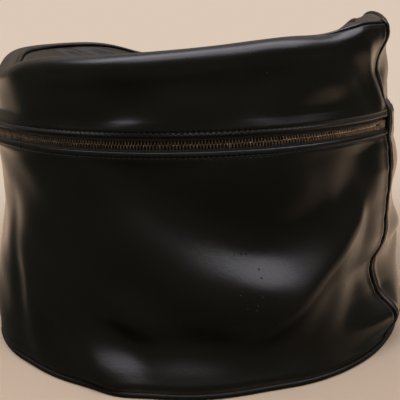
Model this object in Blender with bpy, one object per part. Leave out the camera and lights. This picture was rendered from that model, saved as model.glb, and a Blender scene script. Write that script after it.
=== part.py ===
"""A soft round bag for a rack tom: a slumped wall, a zipped lid that folds back, and a strap handle.

Lengths are in metres. Angles round the bag are in degrees, from its front (-Y) towards its
right side (+X), so the rear panel is centred on 180.
"""
import math

import bmesh
import bpy
import numpy as np
from mathutils import Matrix, Vector

# Bag sizes: a 13 x 9 inch rack tom measures about 355 mm over its hoops
BAG_RADIUS = 0.185
ZIP_HEIGHT = 0.190
BAND_HEIGHT = 0.060
HOLLOW_DEPTH = 0.030
SHOULDER_RADIUS = 0.012
SEAM_ANGLE = 125.0
SKIN = 0.0018
CLEARANCE = 0.0003

# Seam beads and the bindings that cover the raw edges inside
BASE_BEAD_RADIUS = 0.0022
SEAM_BEAD_RADIUS = 0.0016
BINDING = 0.0012
BINDING_WIDTH = 0.010

# Base
BOARD_THICKNESS = 0.003
LINING_THICKNESS = 0.002
BOARD_MARGIN = 0.006

# Zip
TOOTH_ROW_GAP = 0.0016
TOOTH_ROW_WIDTH = 0.0025
TOOTH_THICKNESS = 0.0024
TAPE_THICKNESS = 0.0009
TAPE_WIDTH = 0.0125
FLAP_GAP_ABOVE = 0.0060
FLAP_GAP_BELOW = 0.0053
STOP_LENGTH = 0.003
STOP_SETBACK = 0.0045
STUB_LENGTH = 0.017

# Slider and pull tab
SLIDER_LENGTH = 0.012
SLIDER_WIDTH = 0.0094
SLIDER_PLATE = 0.0014
SLIDER_POST_WIDTH = 0.0009
SLIDER_POST_LENGTH = 0.0035
SLIDER_CHANNEL_SLACK = 0.0007
BRIDGE_LENGTH = 0.0080
BRIDGE_WIDTH = 0.0026
BRIDGE_WALL = 0.0011
BRIDGE_OPENING = 0.0024
PULL_LENGTH = 0.028
PULL_WIDTH = 0.0080
PULL_THICKNESS = 0.0012
PULL_ROUNDING = 0.0027

# Handle
HANDLE_HEIGHT = 0.132
HANDLE_ANGLE = 190.0
HANDLE_HALF_ANGLE = 25.0
HANDLE_END_ANGLE = 8.0
HANDLE_LIFT = 0.026
LIFT_STEEPNESS = 1.8
STRAP_WIDTH = 0.026
STRAP_THICKNESS = 0.003
GRIP_HALF_ANGLE = 12.0
GRIP_WIDTH = 0.034
GRIP_THICKNESS = 0.012
GRIP_TAPER_SHARE = 0.18
BACKING_THICKNESS = 0.0015
BACKING_MARGIN = 0.005
SEAT_RUN_ANGLE = 10.0
RIVET_HEAD_RADIUS = 0.0042
RIVET_HEAD_HEIGHT = 0.0014
RIVET_RIM_SHARE = 0.33
RIVET_CROWN_SHARE = 0.6
RIVET_SHANK_RADIUS = 0.0014
RIVET_SPACING = 0.014
WASHER_THICKNESS = 0.0008
STRAP_COLUMNS = 25
STRAP_ROWS = 4
GRIP_COLUMNS = 9
GRIP_TURN_STEP = 30.0
RIVET_SIDES = 12

# Fineness of the faceted surfaces
COLUMN_STEP = 7.5
ROW_COUNT = 16
BAND_ROW_COUNT = 4
SHOULDER_ROW_COUNT = 5
TOP_ROW_COUNT = 16
MERGE_SHARE = 0.2

# Soft swells and dents of the wall: angle, height as a share of the zip's height, half width
# in degrees, half height as a share of the zip's height, depth as a share of the bag's radius
WALL_FORM_SHARES = (
    (-8.0, 0.72, 35.0, 0.25, -0.068),
    (-8.0, 1.17, 35.0, 0.18, -0.055),
    (125.0, 0.365, 18.0, 0.104, -0.070),
    (123.0, 0.161, 15.0, 0.068, 0.050),
    (125.0, 0.86, 14.0, 0.135, 0.018),
    (126.0, 1.23, 14.0, 0.094, -0.018),
    (144.0, 1.17, 24.0, 0.365, -0.075),
    (146.0, 0.65, 20.0, 0.115, -0.030),
    (144.0, 0.505, 12.0, 0.057, 0.020),
    (105.0, 0.052, 14.0, 0.115, 0.020),
    (-8.0, 0.167, 30.0, 0.115, 0.012),
    (-100.0, 0.63, 35.0, 0.23, -0.040),
    (-95.0, 1.12, 30.0, 0.16, -0.030),
    (215.0, 1.04, 22.0, 0.31, -0.030),
    (125.0, 1.385, 15.0, 0.110, 0.086),
    (125.0, 0.74, 15.0, 0.230, 0.018),
    (125.0, 0.13, 13.0, 0.060, 0.022),
    (125.0, 0.25, 9.0, 0.050, -0.018),
    (139.0, 1.21, 10.0, 0.085, 0.024),
    (141.0, 0.98, 9.0, 0.060, -0.016),
)

# Folded ledges of the wall, each hollow above its line and full below it: angle, height as a
# share of the zip's height, tilt in degrees, then bend, half length, half width and depth as
# shares of the bag's radius
WALL_LEDGE_SHARES = (
    (84.0, 0.487, -13.0, 0.630, 0.335, 0.0973, 0.0335),
    (-45.0, 0.573, -30.0, 0.370, 0.297, 0.0973, 0.0270),
    (-80.0, 0.3125, 24.0, 0.0, 0.243, 0.0811, 0.0216),
    (205.0, 0.3125, -18.0, 0.555, 0.270, 0.0865, 0.0216),
)
LEAN_SHARE = 0.045
LEAN_POWER = 1.5
LEAN_LIMIT = 2.0
CALM_END_ANGLE = 128.0
CALM_RUN_ANGLE = 10.0

# Swells of the rim: angle, half width in degrees, rise as a share of the rim's height
RIM_FORM_SHARES = (
    (122.0, 55.0, 0.062),
    (169.0, 16.0, 0.060),
    (-98.0, 16.0, -0.055),
    (0.0, 18.0, -0.040),
    (229.0, 30.0, -0.030),
    (137.0, 13.0, 0.016),
    (140.5, 12.0, 0.026),
    (-178.0, 9.0, -0.009),
    (169.0, 9.0, -0.014),
    (104.0, 8.0, -0.011),
    (116.0, 6.0, 0.009),
    (-120.0, 20.0, -0.018),
)

# Creases of the slack top panel: place in plan as shares of the bag's radius, tilt in degrees,
# then half length, half width and rise as shares of the bag's radius
TOP_CREASE_SHARES = (
    (-0.297, -0.270, 62.0, 0.324, 0.0865, 0.0297),
    (0.189, -0.351, 105.0, 0.297, 0.0865, 0.0270),
    (0.459, 0.108, 150.0, 0.270, 0.0865, 0.0270),
    (-0.405, 0.216, -25.0, 0.270, 0.0865, 0.0270),
    (0.0, 0.108, 20.0, 0.324, 0.0973, -0.0243),
)
CREASE_CALM_SHARE = 0.25
SHOULDER_SWEEP = 115.0
PINCH_SWEEP = 62.0
PINCH_HALF_ANGLE = 18.0
PINCH_SHARE = 0.55
HOLLOW_POWER = 2.4

RIM_HEIGHT = ZIP_HEIGHT + BAND_HEIGHT
ROW_STEP = ZIP_HEIGHT / ROW_COUNT
TAPE_INSET = SKIN + 2 * CLEARANCE
TOOTH_DEPTH = TAPE_INSET + TAPE_THICKNESS / 2 - TOOTH_THICKNESS / 2
CHAIN_HALF = TOOTH_ROW_GAP / 2 + TOOTH_ROW_WIDTH
BAND_LEVEL = ZIP_HEIGHT + 2 * ROW_STEP
BEAD_SINK = SKIN - SEAM_BEAD_RADIUS
TOP_EDGE_REACH = 2 * SEAM_BEAD_RADIUS + 3 * CLEARANCE


def wrapped(angle):
    """The same angle between -180 and 180."""
    return (np.asarray(angle, float) + 180.0) % 360.0 - 180.0


def smooth(share):
    """0 below 0 and 1 above 1, with a smooth step between."""
    t = np.clip(share, 0.0, 1.0)
    return t * t * (3.0 - 2.0 * t)


def polar(angle, radius, height):
    """Points from angles in degrees, radii and heights, all arrays or numbers."""
    a = np.radians(np.asarray(angle, float))
    radius = np.asarray(radius, float) + 0.0 * a
    height = np.asarray(height, float) + 0.0 * a
    return np.stack([radius * np.sin(a), -radius * np.cos(a), height], axis=-1)


def zip_calm(angle, height):
    """0 near the zip, where the wall keeps a true circle for the slider, and 1 away from it."""
    distance = np.abs(height - ZIP_HEIGHT)
    away = smooth((distance - FLAP_GAP_ABOVE) / ROW_STEP)
    rear = smooth((np.abs(wrapped(angle)) - CALM_END_ANGLE) / CALM_RUN_ANGLE)
    return np.maximum(away, rear)


def rim_height(angle):
    """Height of the rolled shoulder's crest: an even rim plus its soft swells."""
    rise = 0.0
    for centre, width, share in RIM_FORM_SHARES:
        rise = rise + share * np.exp(-(wrapped(angle - centre) / width) ** 2)
    return RIM_HEIGHT * (1.0 + rise)


def seat_calm(angle, height):
    """0 where the handle is riveted on, which keeps the folds off it, and 1 away from it."""
    aside = (np.abs(wrapped(angle - HANDLE_ANGLE)) - HANDLE_HALF_ANGLE) / SEAT_RUN_ANGLE
    off = (np.abs(height - HANDLE_HEIGHT) - STRAP_WIDTH / 2 - BACKING_MARGIN) / (2 * ROW_STEP)
    return np.maximum(smooth(aside), smooth(off))


def ledges(angle, height):
    """Sum of the folded ledges, as a share of the bag's radius: the slope of a bell across a
    bent line, which fades along it."""
    total = 0.0
    for centre, level, tilt, bend, length, width, depth in WALL_LEDGE_SHARES:
        around = np.radians(wrapped(angle - centre))
        up = (height - level * ZIP_HEIGHT) / BAG_RADIUS
        level_part, steep_part = math.cos(math.radians(tilt)), math.sin(math.radians(tilt))
        along = around * level_part + up * steep_part
        across = (up * level_part - around * steep_part - bend * along ** 2) / width
        fade = np.exp(-(along / length) ** 2)
        total = total - depth * across * np.exp((1.0 - across ** 2) / 2) * fade
    return total * seat_calm(angle, height)


def wall_radius(angle, height):
    """Radius of the outer skin: a circle with swells, dents and ledges, leaning in above the zip."""
    swell = 0.0
    for centre, level, width, depth, share in WALL_FORM_SHARES:
        across = wrapped(angle - centre) / width
        up = (height / ZIP_HEIGHT - level) / depth
        swell = swell + share * np.exp(-across ** 2 - up ** 2)
    swell = swell + ledges(angle, height)
    above = np.clip((height - BAND_LEVEL) / (RIM_HEIGHT - BAND_LEVEL), 0.0, LEAN_LIMIT)
    return BAG_RADIUS * (1.0 + swell * zip_calm(angle, height) - LEAN_SHARE * above ** LEAN_POWER)


def pinch(angle):
    """1 at the two side seams, where the shoulder is drawn tight, and 0 away from them."""
    offset = np.abs(wrapped(angle)) - SEAM_ANGLE
    return np.exp(-(offset / PINCH_HALF_ANGLE) ** 2)


def shoulder_point(angle, share, inset):
    """A point on the rolled shoulder, from its foot (share 0) to the top seam (share 1)."""
    bend = SHOULDER_RADIUS * (1.0 - PINCH_SHARE * pinch(angle))
    sweep = np.radians(SHOULDER_SWEEP + (PINCH_SWEEP - SHOULDER_SWEEP) * pinch(angle))
    foot = rim_height(angle) - bend
    turn = sweep * share
    radius = wall_radius(angle, foot) - bend * (1.0 - np.cos(turn)) - inset * np.cos(turn)
    height = foot + (bend - inset) * np.sin(turn)
    return radius, height, turn


def past_shoulder(angle, distance, inset):
    """Radius and height a distance past the shoulder's end, straight on along its surface."""
    radius, height, turn = shoulder_point(angle, 1.0, inset)
    return radius - distance * np.sin(turn), height + distance * np.cos(turn)


def creases(points):
    """Sum of the top panel's creases over plan points: each is a long low bell."""
    total = 0.0
    for centre_x, centre_y, tilt, length, width, rise in TOP_CREASE_SHARES:
        x = points[..., 0] / BAG_RADIUS - centre_x
        y = points[..., 1] / BAG_RADIUS - centre_y
        cosine, sine = math.cos(math.radians(tilt)), math.sin(math.radians(tilt))
        along, across = x * cosine + y * sine, y * cosine - x * sine
        total = total + BAG_RADIUS * rise * np.exp(-(along / length) ** 2 - (across / width) ** 2)
    return total


def top_height(points):
    """Height of the top panel's outer skin over plan points: a creased dish hung from its seam."""
    angle = np.degrees(np.arctan2(points[..., 0], -points[..., 1]))
    edge_radius, edge_height = past_shoulder(angle, TOP_EDGE_REACH, 0.0)
    share = np.hypot(points[..., 0], points[..., 1]) / edge_radius
    floor = RIM_HEIGHT - HOLLOW_DEPTH
    dish = floor + (edge_height - floor) * share ** HOLLOW_POWER
    return dish + creases(points) * smooth((1.0 - share) / CREASE_CALM_SHARE)


def side_step(distance):
    """Degrees round the bag that a distance along its wall takes."""
    return math.degrees(distance / BAG_RADIUS)


def stepped(low, high, step):
    """Values from low to high, on whole steps between, so that neighbours share their facets."""
    whole = np.arange(math.ceil(low / step), math.floor(high / step) + 1) * step
    margin = step * MERGE_SHARE
    inner = whole[(whole > low + margin) & (whole < high - margin)]
    return np.concatenate([[low], inner, [high]])


def columns(low, high):
    """Angles of the facets' edges from low to high."""
    return stepped(low, high, COLUMN_STEP)


def levels(low, high):
    """Heights of the facets' edges from low to high."""
    return stepped(low, high, ROW_STEP)


def wall_rows(angles, low, high, inset):
    """Rows of points up the wall, inside its outer skin by inset."""
    return [polar(angles, wall_radius(angles, z) - inset, z) for z in levels(low, high)]


def band_rows(angles, inset):
    """Rows from the last level row to the foot of the shoulder."""
    foot = shoulder_point(angles, 0.0, 0.0)[1]
    rows = []
    for step in range(1, BAND_ROW_COUNT + 1):
        height = BAND_LEVEL + (foot - BAND_LEVEL) * step / BAND_ROW_COUNT
        rows.append(polar(angles, wall_radius(angles, height) - inset, height))
    return rows


def shoulder_rows(angles, inset):
    """Rows over the rolled shoulder."""
    rows = []
    for step in range(1, SHOULDER_ROW_COUNT + 1):
        radius, height, _ = shoulder_point(angles, step / SHOULDER_ROW_COUNT, inset)
        rows.append(polar(angles, radius, height))
    return rows


def material(name, color, roughness, metallic):
    """A Principled material."""
    made = bpy.data.materials.new(name)
    made.use_nodes = True
    shader = made.node_tree.nodes["Principled BSDF"]
    shader.inputs["Base Color"].default_value = (*color, 1.0)
    shader.inputs["Roughness"].default_value = roughness
    shader.inputs["Metallic"].default_value = metallic
    return made


def finished(name, bm, finish, parent=None):
    """Turn a bmesh, built in world places, into a named object with its material and parent."""
    mesh = bpy.data.meshes.new(name)
    bmesh.ops.recalc_face_normals(bm, faces=bm.faces)
    bm.to_mesh(mesh)
    bm.free()
    mesh.shade_smooth()
    mesh.set_sharp_from_angle(angle=math.radians(40))
    mesh.materials.append(finish)
    made = bpy.data.objects.new(name, mesh)
    bpy.context.collection.objects.link(made)
    if parent is not None:
        made.parent = parent
        made.matrix_parent_inverse = parent.matrix_basis.inverted()
    return made


def shell(name, outer, inner, finish, parent=None, ring=False):
    """A closed sheet between matching rows of outer and inner points, split alike on both sides."""
    bm = bmesh.new()
    front, back = [[[bm.verts.new(p) for p in row] for row in rows] for rows in (outer, inner)]
    count = len(outer[0])
    spans = [(j, (j + 1) % count) for j in range(count if ring else count - 1)]
    for rows in (front, back):
        for below, above in zip(rows, rows[1:]):
            for j, k in spans:
                bm.faces.new((below[j], below[k], above[k]))
                bm.faces.new((below[j], above[k], above[j]))
    for i in (0, -1):
        for j, k in spans:
            bm.faces.new((front[i][j], front[i][k], back[i][k], back[i][j]))
    if not ring:
        for j in (0, -1):
            for i in range(len(outer) - 1):
                bm.faces.new((front[i][j], front[i + 1][j], back[i + 1][j], back[i][j]))
    bmesh.ops.remove_doubles(bm, verts=bm.verts, dist=SKIN / 1000)
    return finished(name, bm, finish, parent)


def disc(name, angles, radii, low, high, finish):
    """A flat plate with a round outline."""
    bm = bmesh.new()
    ring = [bm.verts.new(p) for p in polar(angles, radii, low)]
    face = bm.faces.new(ring)
    lifted = bmesh.ops.extrude_face_region(bm, geom=[face])
    moved = [v for v in lifted["geom"] if isinstance(v, bmesh.types.BMVert)]
    bmesh.ops.translate(bm, verts=moved, vec=(0.0, 0.0, high - low))
    return finished(name, bm, finish)


def bead(name, points, radius, finish, parent=None, ring=False):
    """A round piping bead along a path."""
    curve = bpy.data.curves.new(name, "CURVE")
    curve.dimensions = "3D"
    curve.bevel_depth = radius
    curve.bevel_resolution = 1
    curve.use_fill_caps = not ring
    spline = curve.splines.new("POLY")
    spline.points.add(len(points) - 1)
    for target, point in zip(spline.points, points):
        target.co = (*point, 1.0)
    spline.use_cyclic_u = ring
    curve.materials.append(finish)
    made = bpy.data.objects.new(name, curve)
    bpy.context.collection.objects.link(made)
    if parent is not None:
        made.parent = parent
        made.matrix_parent_inverse = parent.matrix_basis.inverted()
    return made


def pivot(name, place, matrix=None):
    """An empty on a joint's axis, which the moving pieces hang from."""
    made = bpy.data.objects.new(name, None)
    bpy.context.collection.objects.link(made)
    made.matrix_basis = Matrix.Translation(Vector(place)) @ (matrix or Matrix.Identity(4))
    return made


def local_frame(angle, height):
    """Matrix whose X runs round the bag, Y outward and Z up, at a place on the wall's circle."""
    a = math.radians(angle)
    along = Vector((math.cos(a), math.sin(a), 0.0))
    outward = Vector((math.sin(a), -math.cos(a), 0.0))
    place = outward * BAG_RADIUS + Vector((0.0, 0.0, height))
    turned = Matrix((along, outward, Vector((0.0, 0.0, 1.0)))).transposed().to_4x4()
    return Matrix.Translation(place) @ turned


def surface_frame(angle, height):
    """Matrix whose Y is the wall's own normal, at a place on its outer skin."""
    angles = np.array([angle, angle + side_step(SKIN), angle])
    heights = np.array([height, height, height + SKIN])
    place, beside, over = [Vector(p) for p in polar(angles, wall_radius(angles, heights), heights)]
    along = (beside - place).normalized()
    outward = along.cross(over - place).normalized()
    turned = Matrix((along, outward, along.cross(outward))).transposed().to_4x4()
    return Matrix.Translation(place) @ turned


def add_box(bm, low, high, matrix):
    """A box between two corners of a local frame."""
    size = Vector(high) - Vector(low)
    centre = (Vector(high) + Vector(low)) / 2
    made = bmesh.ops.create_cube(bm, size=1.0)["verts"]
    placed = matrix @ Matrix.Translation(centre) @ Matrix.Diagonal((*size, 1.0))
    bmesh.ops.transform(bm, matrix=placed, verts=made)


def add_turned(bm, profile, matrix):
    """A turned solid: (radius, distance outward) pairs spun about the local Y axis."""
    turns = [2 * math.pi * k / RIVET_SIDES for k in range(RIVET_SIDES)]
    rings = []
    for radius, out in profile:
        spun = turns if radius > 0.0 else [0.0]
        places = [Vector((radius * math.cos(t), out, radius * math.sin(t))) for t in spun]
        rings.append([bm.verts.new(matrix @ place) for place in places])
    for first, second in zip(rings, rings[1:]):
        for k in range(RIVET_SIDES):
            n = (k + 1) % RIVET_SIDES
            low = [first[k % len(first)], first[n % len(first)]]
            high = [second[n % len(second)], second[k % len(second)]]
            bm.faces.new(list(dict.fromkeys(low + high)))


def cut(target, cutter, operation="DIFFERENCE"):
    """Cut or join one object with another by a Boolean modifier."""
    made = target.modifiers.new(cutter.name, "BOOLEAN")
    made.operation = operation
    made.solver = "EXACT"
    made.object = cutter
    cutter.hide_render = True
    cutter.display_type = "WIRE"


def build_base(vinyl, board, fleece):
    """Bottom skin, piping, stiffening board and the fleece lining over it."""
    angles = np.arange(-180.0, 180.0, COLUMN_STEP)
    bead_height = BASE_BEAD_RADIUS + CLEARANCE
    bead_path_radius = wall_radius(angles, bead_height) - SKIN / 2
    bead("base_piping", polar(angles, bead_path_radius, bead_height), BASE_BEAD_RADIUS, vinyl, ring=True)
    reach = BASE_BEAD_RADIUS + 2 * CLEARANCE
    disc("base_panel", angles, bead_path_radius - reach, 0.0, SKIN, vinyl)
    board_radius = BAG_RADIUS - BOARD_MARGIN
    board_low = SKIN + CLEARANCE
    board_high = board_low + BOARD_THICKNESS
    disc("base_board", angles, board_radius, board_low, board_high, board)
    lining_low = board_high + CLEARANCE
    disc("base_lining", angles, board_radius, lining_low, lining_low + LINING_THICKNESS, fleece)
    angles = np.concatenate([columns(-panel_edge(), panel_edge()), columns(*rear_edges())])
    outer = wall_rows(angles, wall_foot(), ROW_STEP, SKIN + CLEARANCE)
    inner = wall_rows(angles, wall_foot(), ROW_STEP, SKIN + CLEARANCE + BINDING)
    shell("base_seam_binding", outer, inner, fleece, ring=True)


def wall_foot():
    """Height of the wall panels' lower edge, just above the base piping."""
    return 2 * BASE_BEAD_RADIUS + 2 * CLEARANCE


def panel_edge():
    """Angle of a front panel's edge, just short of the side seam's bead."""
    return SEAM_ANGLE - side_step(SEAM_BEAD_RADIUS + 2 * CLEARANCE)


def rear_edges():
    """Angles of the rear panel's two edges, just past the side seams' beads."""
    low = SEAM_ANGLE + side_step(SEAM_BEAD_RADIUS + 2 * CLEARANCE)
    return low, 360.0 - low


def build_wall(vinyl):
    """Front wall below the zip, and the rear panel that runs from base to top seam."""
    angles = columns(-panel_edge(), panel_edge())
    high = ZIP_HEIGHT - FLAP_GAP_BELOW
    outer = wall_rows(angles, wall_foot(), high, 0.0)
    inner = wall_rows(angles, wall_foot(), high, SKIN)
    shell("front_wall", outer, inner, vinyl)
    angles = columns(*rear_edges())
    sides = []
    for inset in (0.0, SKIN):
        rows = wall_rows(angles, wall_foot(), BAND_LEVEL, inset)
        sides.append(rows + band_rows(angles, inset) + shoulder_rows(angles, inset))
    return shell("rear_panel", sides[0], sides[1], vinyl)


def seam_path(angle):
    """Centre line of a side seam's bead, from the base piping up over the shoulder."""
    single = np.array([angle])
    low = wall_foot() + SEAM_BEAD_RADIUS
    rows = wall_rows(single, low, BAND_LEVEL, BEAD_SINK) + band_rows(single, BEAD_SINK)
    rows += shoulder_rows(single, BEAD_SINK)
    return np.array([row[0] for row in rows])


def build_side_seams(vinyl, fleece):
    """Piping up both side seams, and the binding inside, turned on to the rear panel."""
    facets = columns(*rear_edges())
    spans = {"right": (SEAM_ANGLE, facets[0], facets[1]), "left": (-SEAM_ANGLE, facets[-1], facets[-2])}
    foot = ROW_STEP + CLEARANCE
    for side, (seam, edge, beyond) in spans.items():
        bead("seam_piping_" + side, seam_path(seam), SEAM_BEAD_RADIUS, vinyl)
        share = min(1.0, side_step(BINDING_WIDTH) / abs(beyond - edge))
        angles = np.array([edge, beyond])
        sides = []
        for inset in (SKIN + CLEARANCE, SKIN + CLEARANCE + BINDING):
            rows = wall_rows(angles, foot, BAND_LEVEL, inset) + band_rows(angles, inset)
            narrowed = [np.array([row[0], row[0] + (row[1] - row[0]) * share]) for row in rows]
            sides.append([row if edge < beyond else row[::-1] for row in narrowed])
        shell("side_seam_binding_" + side, sides[0], sides[1], fleece)


def top_seam_points(angles):
    """Centre line of the top seam's bead."""
    radius, height = past_shoulder(angles, SEAM_BEAD_RADIUS + CLEARANCE, BEAD_SINK)
    return polar(angles, radius, height)


def top_edge_points(angles):
    """The outer edge of the top panel's skin."""
    radius, height = past_shoulder(angles, TOP_EDGE_REACH, 0.0)
    return polar(angles, radius, height)


def fold_line():
    """Ends of the line that the lid folds on: over the tops of the two side seams."""
    ends = top_edge_points(np.array([-SEAM_ANGLE, SEAM_ANGLE]))
    beads = top_seam_points(np.array([-SEAM_ANGLE, SEAM_ANGLE]))
    ends[:, 2] = beads[:, 2] + 2 * SEAM_BEAD_RADIUS
    return Vector(ends[0]), Vector(ends[1])


def fan_rows(angles, centre, depth):
    """Rows of the top panel from its seam to a point on the fold line, hung as a dish."""
    edge = top_edge_points(angles)
    rows = []
    for step in range(TOP_ROW_COUNT + 1):
        share = step / TOP_ROW_COUNT
        row = edge * (1.0 - share) + np.array([centre.x, centre.y, 0.0]) * share
        row[:, 2] = top_height(row) - depth
        rows.append(row)
    return rows


def build_lid(vinyl, fleece, tape, brass):
    """The moving front of the lid, with its band, shoulder, piping, binding and half of the zip."""
    left, right = fold_line()
    along = (right - left).normalized()
    middle = (left + right) / 2
    across = Vector((-along.y, along.x, 0.0)).normalized()
    turned = along.to_track_quat("X", "Z").to_matrix().to_4x4()
    hinge = pivot("lid_hinge", middle, turned)

    angles = columns(-panel_edge(), panel_edge())
    low = ZIP_HEIGHT + FLAP_GAP_ABOVE
    sides = []
    for inset in (0.0, SKIN):
        rows = wall_rows(angles, low, BAND_LEVEL, inset)
        sides.append(rows + band_rows(angles, inset) + shoulder_rows(angles, inset))
    shell("lid_band", sides[0], sides[1], vinyl, hinge)

    seam = columns(-panel_edge(), panel_edge())
    bead("lid_top_piping", top_seam_points(seam), SEAM_BEAD_RADIUS, vinyl, hinge)

    centre = middle - across * CLEARANCE
    shell("lid_top", fan_rows(seam, centre, 0.0), fan_rows(seam, centre, SKIN), vinyl, hinge)
    binding = []
    for depth in (SKIN + 2 * CLEARANCE, SKIN + 2 * CLEARANCE + BINDING):
        edge, inward = fan_rows(seam, centre, depth)[:2]
        reach = np.linalg.norm(inward - edge, axis=1)[:, None]
        binding.append([edge, edge + (inward - edge) * np.minimum(1.0, BINDING_WIDTH / reach)])
    shell("lid_seam_binding", binding[0], binding[1], fleece, hinge)

    end = zip_end()
    build_zip_half("upper", columns(-end, end), 1.0, tape, brass, hinge)

    centre = middle + across * CLEARANCE
    low, high = rear_edges()
    angles = columns(low, high)
    shell("rear_top", fan_rows(angles, centre, 0.0), fan_rows(angles, centre, SKIN), vinyl)
    bead("rear_top_piping", top_seam_points(angles), SEAM_BEAD_RADIUS, vinyl)


def stop_angle():
    """Angle of the metal stops at the zip's ends."""
    return SEAM_ANGLE - side_step(STOP_SETBACK)


def zip_end():
    """Angle where the lid's own half of the zip ends and the fixed stub begins."""
    return stop_angle() - side_step(STUB_LENGTH)


def slider_angle():
    """Angle of the slider's middle at either end of its travel."""
    return stop_angle() - side_step(STOP_LENGTH / 2 + SLIDER_LENGTH / 2 + 2 * CLEARANCE)


def zip_strip(name, angles, low, high, inset, thickness, finish, parent=None):
    """A strip of tape or teeth round the bag between two heights."""
    outer = wall_rows(angles, low, high, inset)
    inner = wall_rows(angles, low, high, inset + thickness)
    return shell(name, outer, inner, finish, parent)


def build_zip_half(side, angles, up, tape, brass, parent=None):
    """One tape and one row of teeth; up is 1 above the zip's centre line and -1 below it."""
    tooth = sorted(ZIP_HEIGHT + up * v for v in (TOOTH_ROW_GAP / 2, CHAIN_HALF))
    zip_strip("zip_teeth_" + side, angles, *tooth, TOOTH_DEPTH, TOOTH_THICKNESS, brass, parent)
    start = CHAIN_HALF + CLEARANCE
    cloth = sorted(ZIP_HEIGHT + up * v for v in (start, start + TAPE_WIDTH))
    reach = panel_edge() if up < 0 else angles[-1]
    zip_strip("zip_tape_" + side, columns(-reach, reach), *cloth, TAPE_INSET, TAPE_THICKNESS, tape, parent)


def build_zip_ends(tape, brass):
    """The lower half of the zip, the closed stubs at both ends and their metal stops."""
    stop_half = side_step(STOP_LENGTH / 2)
    row_end = stop_angle() - stop_half - side_step(CLEARANCE)
    build_zip_half("lower", columns(-row_end, row_end), -1.0, tape, brass)
    low = ZIP_HEIGHT + TOOTH_ROW_GAP / 2
    high = ZIP_HEIGHT + FLAP_GAP_ABOVE - 2 * CLEARANCE
    start = zip_end() + side_step(CLEARANCE)
    for side, sign in (("right", 1), ("left", -1)):
        angles = np.array(sorted((sign * start, sign * row_end)))
        zip_strip("zip_end_" + side, columns(*angles), low, high, TAPE_INSET, TAPE_THICKNESS, tape)
        bm = bmesh.new()
        frame = local_frame(sign * stop_angle(), ZIP_HEIGHT)
        half = CHAIN_HALF - CLEARANCE
        near = -TOOTH_DEPTH - TOOTH_THICKNESS
        add_box(bm, (-STOP_LENGTH / 2, near, -half), (STOP_LENGTH / 2, -TOOTH_DEPTH, half), frame)
        finished("zip_stop_" + side, bm, brass)


def build_slider(brass):
    """Slider with its crown bridge, and the pull tab that turns in it."""
    carrier = pivot("zip_travel", (0.0, 0.0, ZIP_HEIGHT))
    frame = local_frame(-slider_angle(), ZIP_HEIGHT)
    half_length = SLIDER_LENGTH / 2
    half_width = SLIDER_WIDTH / 2
    outer_low = -TOOTH_DEPTH + SLIDER_CHANNEL_SLACK
    outer_high = outer_low + SLIDER_PLATE
    inner_high = -TOOTH_DEPTH - TOOTH_THICKNESS - SLIDER_CHANNEL_SLACK
    inner_low = inner_high - SLIDER_PLATE
    bite = SLIDER_PLATE / 4

    def part(name, start, end, low, high, half):
        bm = bmesh.new()
        add_box(bm, (start, low, -half), (end, high, half), frame)
        return finished(name, bm, brass, carrier)

    body = part("slider_body", -half_length, half_length, outer_low, outer_high, half_width)
    inner = part("slider_inner_plate", -half_length, half_length, inner_low, inner_high, half_width)
    post_start = -half_length + bite
    post_end = -half_length + SLIDER_POST_LENGTH
    post_half = SLIDER_POST_WIDTH / 2
    post = part("slider_post", post_start, post_end, inner_high - bite, outer_low + bite, post_half)
    bridge_half = BRIDGE_LENGTH / 2
    window_half = bridge_half - BRIDGE_WALL
    crown = outer_high + BRIDGE_OPENING
    bridge_low = outer_high - bite
    bridge_high = crown + BRIDGE_WALL
    bridge = part("slider_bridge", -bridge_half, bridge_half, bridge_low, bridge_high, BRIDGE_WIDTH / 2)
    window = part("slider_bridge_window", -window_half, window_half, outer_high, crown, BRIDGE_WIDTH)
    cut(bridge, window)
    for piece in (inner, post, bridge):
        cut(body, piece, "UNION")

    axis_out = outer_high + BRIDGE_OPENING / 2
    place = frame @ Vector((0.0, axis_out, 0.0))
    swing = pivot("pull_swing", place)
    swing.parent = carrier
    swing.matrix_parent_inverse = carrier.matrix_basis.inverted()
    bm = bmesh.new()
    half_thick = PULL_THICKNESS / 2
    low = (-half_thick, axis_out - half_thick, -PULL_WIDTH / 2)
    high = (PULL_LENGTH, axis_out + half_thick, PULL_WIDTH / 2)
    add_box(bm, low, high, frame)
    corners = [e for e in bm.edges if abs(e.calc_length() - PULL_THICKNESS) < CLEARANCE]
    tips = [e for e in corners if (e.verts[0].co - place).length > PULL_LENGTH / 2]
    bmesh.ops.bevel(bm, geom=tips, offset=PULL_ROUNDING, segments=3, affect="EDGES")
    mesh_matrix = swing.matrix_basis.inverted()
    bmesh.ops.transform(bm, matrix=mesh_matrix, verts=bm.verts)
    tab = finished("pull_tab", bm, brass)
    tab.parent = swing
    slot_half = BRIDGE_WIDTH / 2 + 2 * CLEARANCE
    slot_end = math.hypot(bridge_half, BRIDGE_OPENING) + 3 * CLEARANCE
    bm = bmesh.new()
    low = (half_thick, axis_out - PULL_THICKNESS, -slot_half)
    high = (slot_end, axis_out + PULL_THICKNESS, slot_half)
    add_box(bm, low, high, frame)
    cut(tab, finished("pull_tab_slot", bm, brass))


def strap_share(angle):
    """0 where the strap lies on the wall at its ends, and 1 where it bows clear of it."""
    bow = HANDLE_HALF_ANGLE - HANDLE_END_ANGLE
    inside = bow - np.abs(np.asarray(angle) - HANDLE_ANGLE)
    return smooth(inside / bow * LIFT_STEEPNESS)


def strap_rows(angles, half_width, above):
    """Rows across the strap at a distance above its underside."""
    share = strap_share(angles)
    made = []
    for z in np.linspace(HANDLE_HEIGHT - half_width, HANDLE_HEIGHT + half_width, STRAP_ROWS):
        ground = wall_radius(angles, z) * (1.0 - share) + BAG_RADIUS * share
        made.append(polar(angles, ground + 2 * CLEARANCE + HANDLE_LIFT * share + above, z))
    return made


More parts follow.
